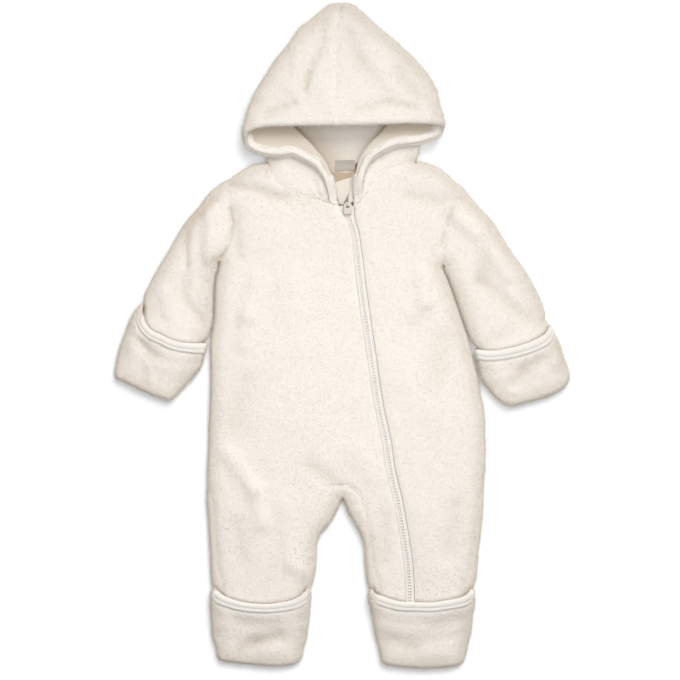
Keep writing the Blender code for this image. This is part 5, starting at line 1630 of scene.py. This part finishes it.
PANELS = {   # width and length of each cut in metres, its area, and what it lies on
    "front_left": ((0.209, 0.50), 0.067, ["back"]),
    "front_right": ((0.130, 0.50), 0.041, ["back"]),
    "back": ((0.294, 0.449), 0.117, []),
    "sleeve_left": ((0.16, 0.20), 0.0225, []),
    "sleeve_right": ((0.16, 0.20), 0.0225, []),
    "hood_left": ((0.17, 0.30), 0.030, ["back"]),
    "hood_right": ((0.17, 0.30), 0.031, ["back"]),
}


BAGS = {     # outlines, width and length of the cut, its area, and the binding's cut
    "mitt": (MITT, (0.10, 0.15), 0.0105, (0.0125, 0.105)),
    "bootie": (BOOTIE, (0.115, 0.15), 0.0142, (0.0125, 0.125)),
}
ROUNDING = {"slider": 0.35, "pull_tab": 0.3, "guard": 0.7}   # of the hard pieces' edges


class PRAMSUIT_OT_panels(bpy.types.Operator):
    """Makes the fronts, the back, the sleeves and the two halves of the hood, with their nap"""
    bl_idname = "pramsuit.panels"
    bl_label = "Body, sleeves and hood"

    def execute(self, context):
        skin = Skin(list(PANELS))
        front_left(skin)
        front_right(skin)
        back(skin)
        for side in SIDES:
            sleeve(skin, side)
            hood(skin, side)
        skin.weld()
        for piece, (cut, area, rests_on) in PANELS.items():
            hooded = piece.startswith("hood")
            item = cut_out(skin, piece, *((turned_hem, hem_outside) if hooded else (None, None)))
            nap = fibres(item)
            made[piece] = item
            cloth_piece(item)
        skin.mesh.free()
        return {"FINISHED"}


class PRAMSUIT_OT_bags(bpy.types.Operator):
    """Makes the mitts and booties, with their bindings and the stitches on them"""
    bl_idname = "pramsuit.bags"
    bl_label = "Mitts and booties"

    def execute(self, context):
        for kind, (tables, cut, area, strip) in BAGS.items():
            for side in SIDES:
                name, binding = f"{kind}_{side}", f"{kind}_binding_{side}"
                item, band, rows = bag(tables[side], name, binding)
                nap = fibres(item)
                band.data.materials.append(material("binding"))
                stitches = sewing(f"stitches_{kind}_{side}", rows)
                cloth_piece(item)
                cloth_piece(band)
        return {"FINISHED"}


class PRAMSUIT_OT_zip(bpy.types.Operator):
    """Makes the zip's tapes, teeth, slider, pull tab and the small guard behind its top"""
    bl_idname = "pramsuit.zip"
    bl_label = "Zip"

    def execute(self, context):
        for side in SIDES:
            tape = zip_tape(side)
            teeth = fitted(zip_teeth(side))
            fitted(tape, "zip_tape_" + side)
        metal = material("metal")
        fitted(softened("slider", "zip_slider", metal), "zip_slider")
        fitted(softened("pull_tab", "zip_pull", metal), "zip_pull", PULL)
        guard = softened("guard", "zip_guard", material("fleece"))
        # painted shade over the whole guard
        tint(guard, GUARD_SHADE)
        roll_end = fitted(tape_end())
        fitted(guard, "zip_guard")
        return {"FINISHED"}


class PRAMSUIT_OT_label(bpy.types.Operator):
    """Makes the blank neck label and the small side tab"""
    bl_idname = "pramsuit.label"
    bl_label = "Neck label"

    def execute(self, context):
        label = woven_patch("label", LABEL_BOX, LABEL_WAVE, LABEL_CELLS, material("label"))
        tab = woven_patch("side_tab", TAB_BOX, TAB_WAVE, TAB_CELLS, material("red"))
        fitted(label, "neck_label")
        fitted(tab, "neck_tab")
        return {"FINISHED"}


class PRAMSUIT_OT_sewing(bpy.types.Operator):
    """Sews the hood's hem"""
    bl_idname = "pramsuit.sewing"
    bl_label = "Hem stitches"

    def execute(self, context):
        for part, (table, used, cloth, start) in HEM_SEWING.items():
            lines = {side: beside(smooth(table[side])[used], cloth, HEM_STITCH) for side in SIDES}
            runs = [drop(lines[side], made["hood_" + side], start) for side in SIDES]
            sewing("stitches_" + part, [run for run in runs if len(run) > 4])
        return {"FINISHED"}


# ---------------------------------------------------------------- stage, in metres
FLOOR = -0.0003        # just under the suit
FLOOR_HALF = 6.0
FLOOR_REACH = 0.5
FLOOR_GLOW = (0.05, 0.36)   # what keeps the paper white, at the middle and at that reach
PAPER = (0.91, 0.918, 0.93, 1)
SKY = (0.97, 0.985, 1.0, 1)
HORIZON = 0.25         # the sky near the floor, as a share of the sky overhead
CAMERA_PLACE = (-0.0023, -0.0043)
LENS, SENSOR = 100, 36      # millimetres
KEY_PLACE = (0.34, 0.95, 1.0)
KEY_SPREAD = 36.0      # degrees across, which softens the shadows
TOP_PLACE = (0.03, 0.04, 0.6)
TOP_SIZE = 0.7


def lamp(name, kind, place, power):
    """A light at a place that points at the middle of the suit."""
    data = bpy.data.lights.new(name, kind)
    data.energy = power
    item = link(name, data)
    item.location = place
    item.visible_camera = False
    item.rotation_euler = Vector(place).to_track_quat("Z", "Y").to_euler()
    return data


class PRAMSUIT_OT_stage(bpy.types.Operator):
    """Makes the floor, the lights and the camera straight above"""
    bl_idname = "pramsuit.stage"
    bl_label = "Floor, lights and camera"

    def execute(self, context):
        stage = context.scene.pramsuit_stage
        self.floor()
        lamp("key", "SUN", KEY_PLACE, stage.key).angle = math.radians(KEY_SPREAD)
        lamp("top light", "AREA", TOP_PLACE, stage.soft).size = TOP_SIZE
        context.scene.world = self.sky(stage.fill)
        context.scene.view_settings.view_transform = "Standard"
        camera = bpy.data.cameras.new("camera")
        camera.lens, camera.sensor_width = LENS, SENSOR
        eye = link("camera", camera)
        eye.location = (*CAMERA_PLACE, stage.height)
        context.scene.camera = eye
        return {"FINISHED"}

    def floor(self):
        """A wide pale sheet under the suit, which glows a little more away from its middle."""
        corners = [(x, y, FLOOR) for x, y in ((-1, -1), (1, -1), (1, 1), (-1, 1))]
        mesh = bpy.data.meshes.new("floor")
        mesh.from_pydata([(x * FLOOR_HALF, y * FLOOR_HALF, z) for x, y, z in corners], [],
                         [(0, 1, 2, 3)])
        paint, tree, shader, place = new_material("Pale floor")
        shader["Base Color"].default_value = PAPER
        shader["Roughness"].default_value = 0.9
        shader["Specular IOR Level"].default_value = 0.0
        shader["Emission Color"].default_value = (1, 1, 1, 1)
        away = node(tree, "ShaderNodeVectorMath", {"operation": "DOT_PRODUCT"}, _0=place, _1=place)
        glow = node(tree, "ShaderNodeMapRange", Value=away.outputs["Value"],
                    From_Max=FLOOR_REACH ** 2, To_Min=FLOOR_GLOW[0], To_Max=FLOOR_GLOW[1])
        tree.links.new(glow.outputs[0], shader["Emission Strength"])
        mesh.materials.append(paint)
        link("floor", mesh)

    def sky(self, fill):
        """A world that gives its light from overhead."""
        world = bpy.data.worlds.new("Studio")
        world.use_nodes = True
        tree = world.node_tree
        background = tree.nodes["Background"].inputs
        place = node(tree, "ShaderNodeTexCoord").outputs["Generated"]
        up = node(tree, "ShaderNodeSeparateXYZ", Vector=place).outputs["Z"]
        glow = node(tree, "ShaderNodeMapRange", {"interpolation_type": "SMOOTHSTEP"}, Value=up,
                    From_Min=0.0, From_Max=0.9, To_Min=fill * HORIZON, To_Max=fill)
        background["Color"].default_value = SKY
        tree.links.new(glow.outputs[0], background["Strength"])
        return world


OPERATORS = (PRAMSUIT_OT_stage, PRAMSUIT_OT_panels, PRAMSUIT_OT_bags, PRAMSUIT_OT_zip,
             PRAMSUIT_OT_label, PRAMSUIT_OT_sewing)


class PRAMSUIT_PT_panel(bpy.types.Panel):
    """Everything that makes the pramsuit, in order"""
    bl_idname = "PRAMSUIT_PT_panel"
    bl_label = "Pramsuit"
    bl_space_type = "VIEW_3D"
    bl_region_type = "UI"
    bl_category = "Pramsuit"

    def draw(self, context):
        for item in OPERATORS:
            self.layout.operator(item.bl_idname)
        for group_name, kind in SETTINGS.items():
            for label in kind.__annotations__:
                self.layout.prop(getattr(context.scene, group_name), label)


SETTINGS = {"pramsuit_cloth": ClothSettings, "pramsuit_trim": TrimSettings,
            "pramsuit_stage": StageSettings}
CLASSES = (*SETTINGS.values(), *OPERATORS, PRAMSUIT_PT_panel)


def register():
    for kind in CLASSES:
        bpy.utils.register_class(kind)
    for name, kind in SETTINGS.items():
        setattr(bpy.types.Scene, name, PointerProperty(type=kind))


def unregister():
    for name in SETTINGS:
        delattr(bpy.types.Scene, name)
    for kind in reversed(CLASSES):
        bpy.utils.unregister_class(kind)


def main():
    register()
    bpy.ops.pramsuit.stage()
    bpy.ops.pramsuit.panels()
    bpy.ops.pramsuit.bags()
    bpy.ops.pramsuit.zip()
    bpy.ops.pramsuit.label()
    bpy.ops.pramsuit.sewing()


if __name__ == "__main__":
    main()
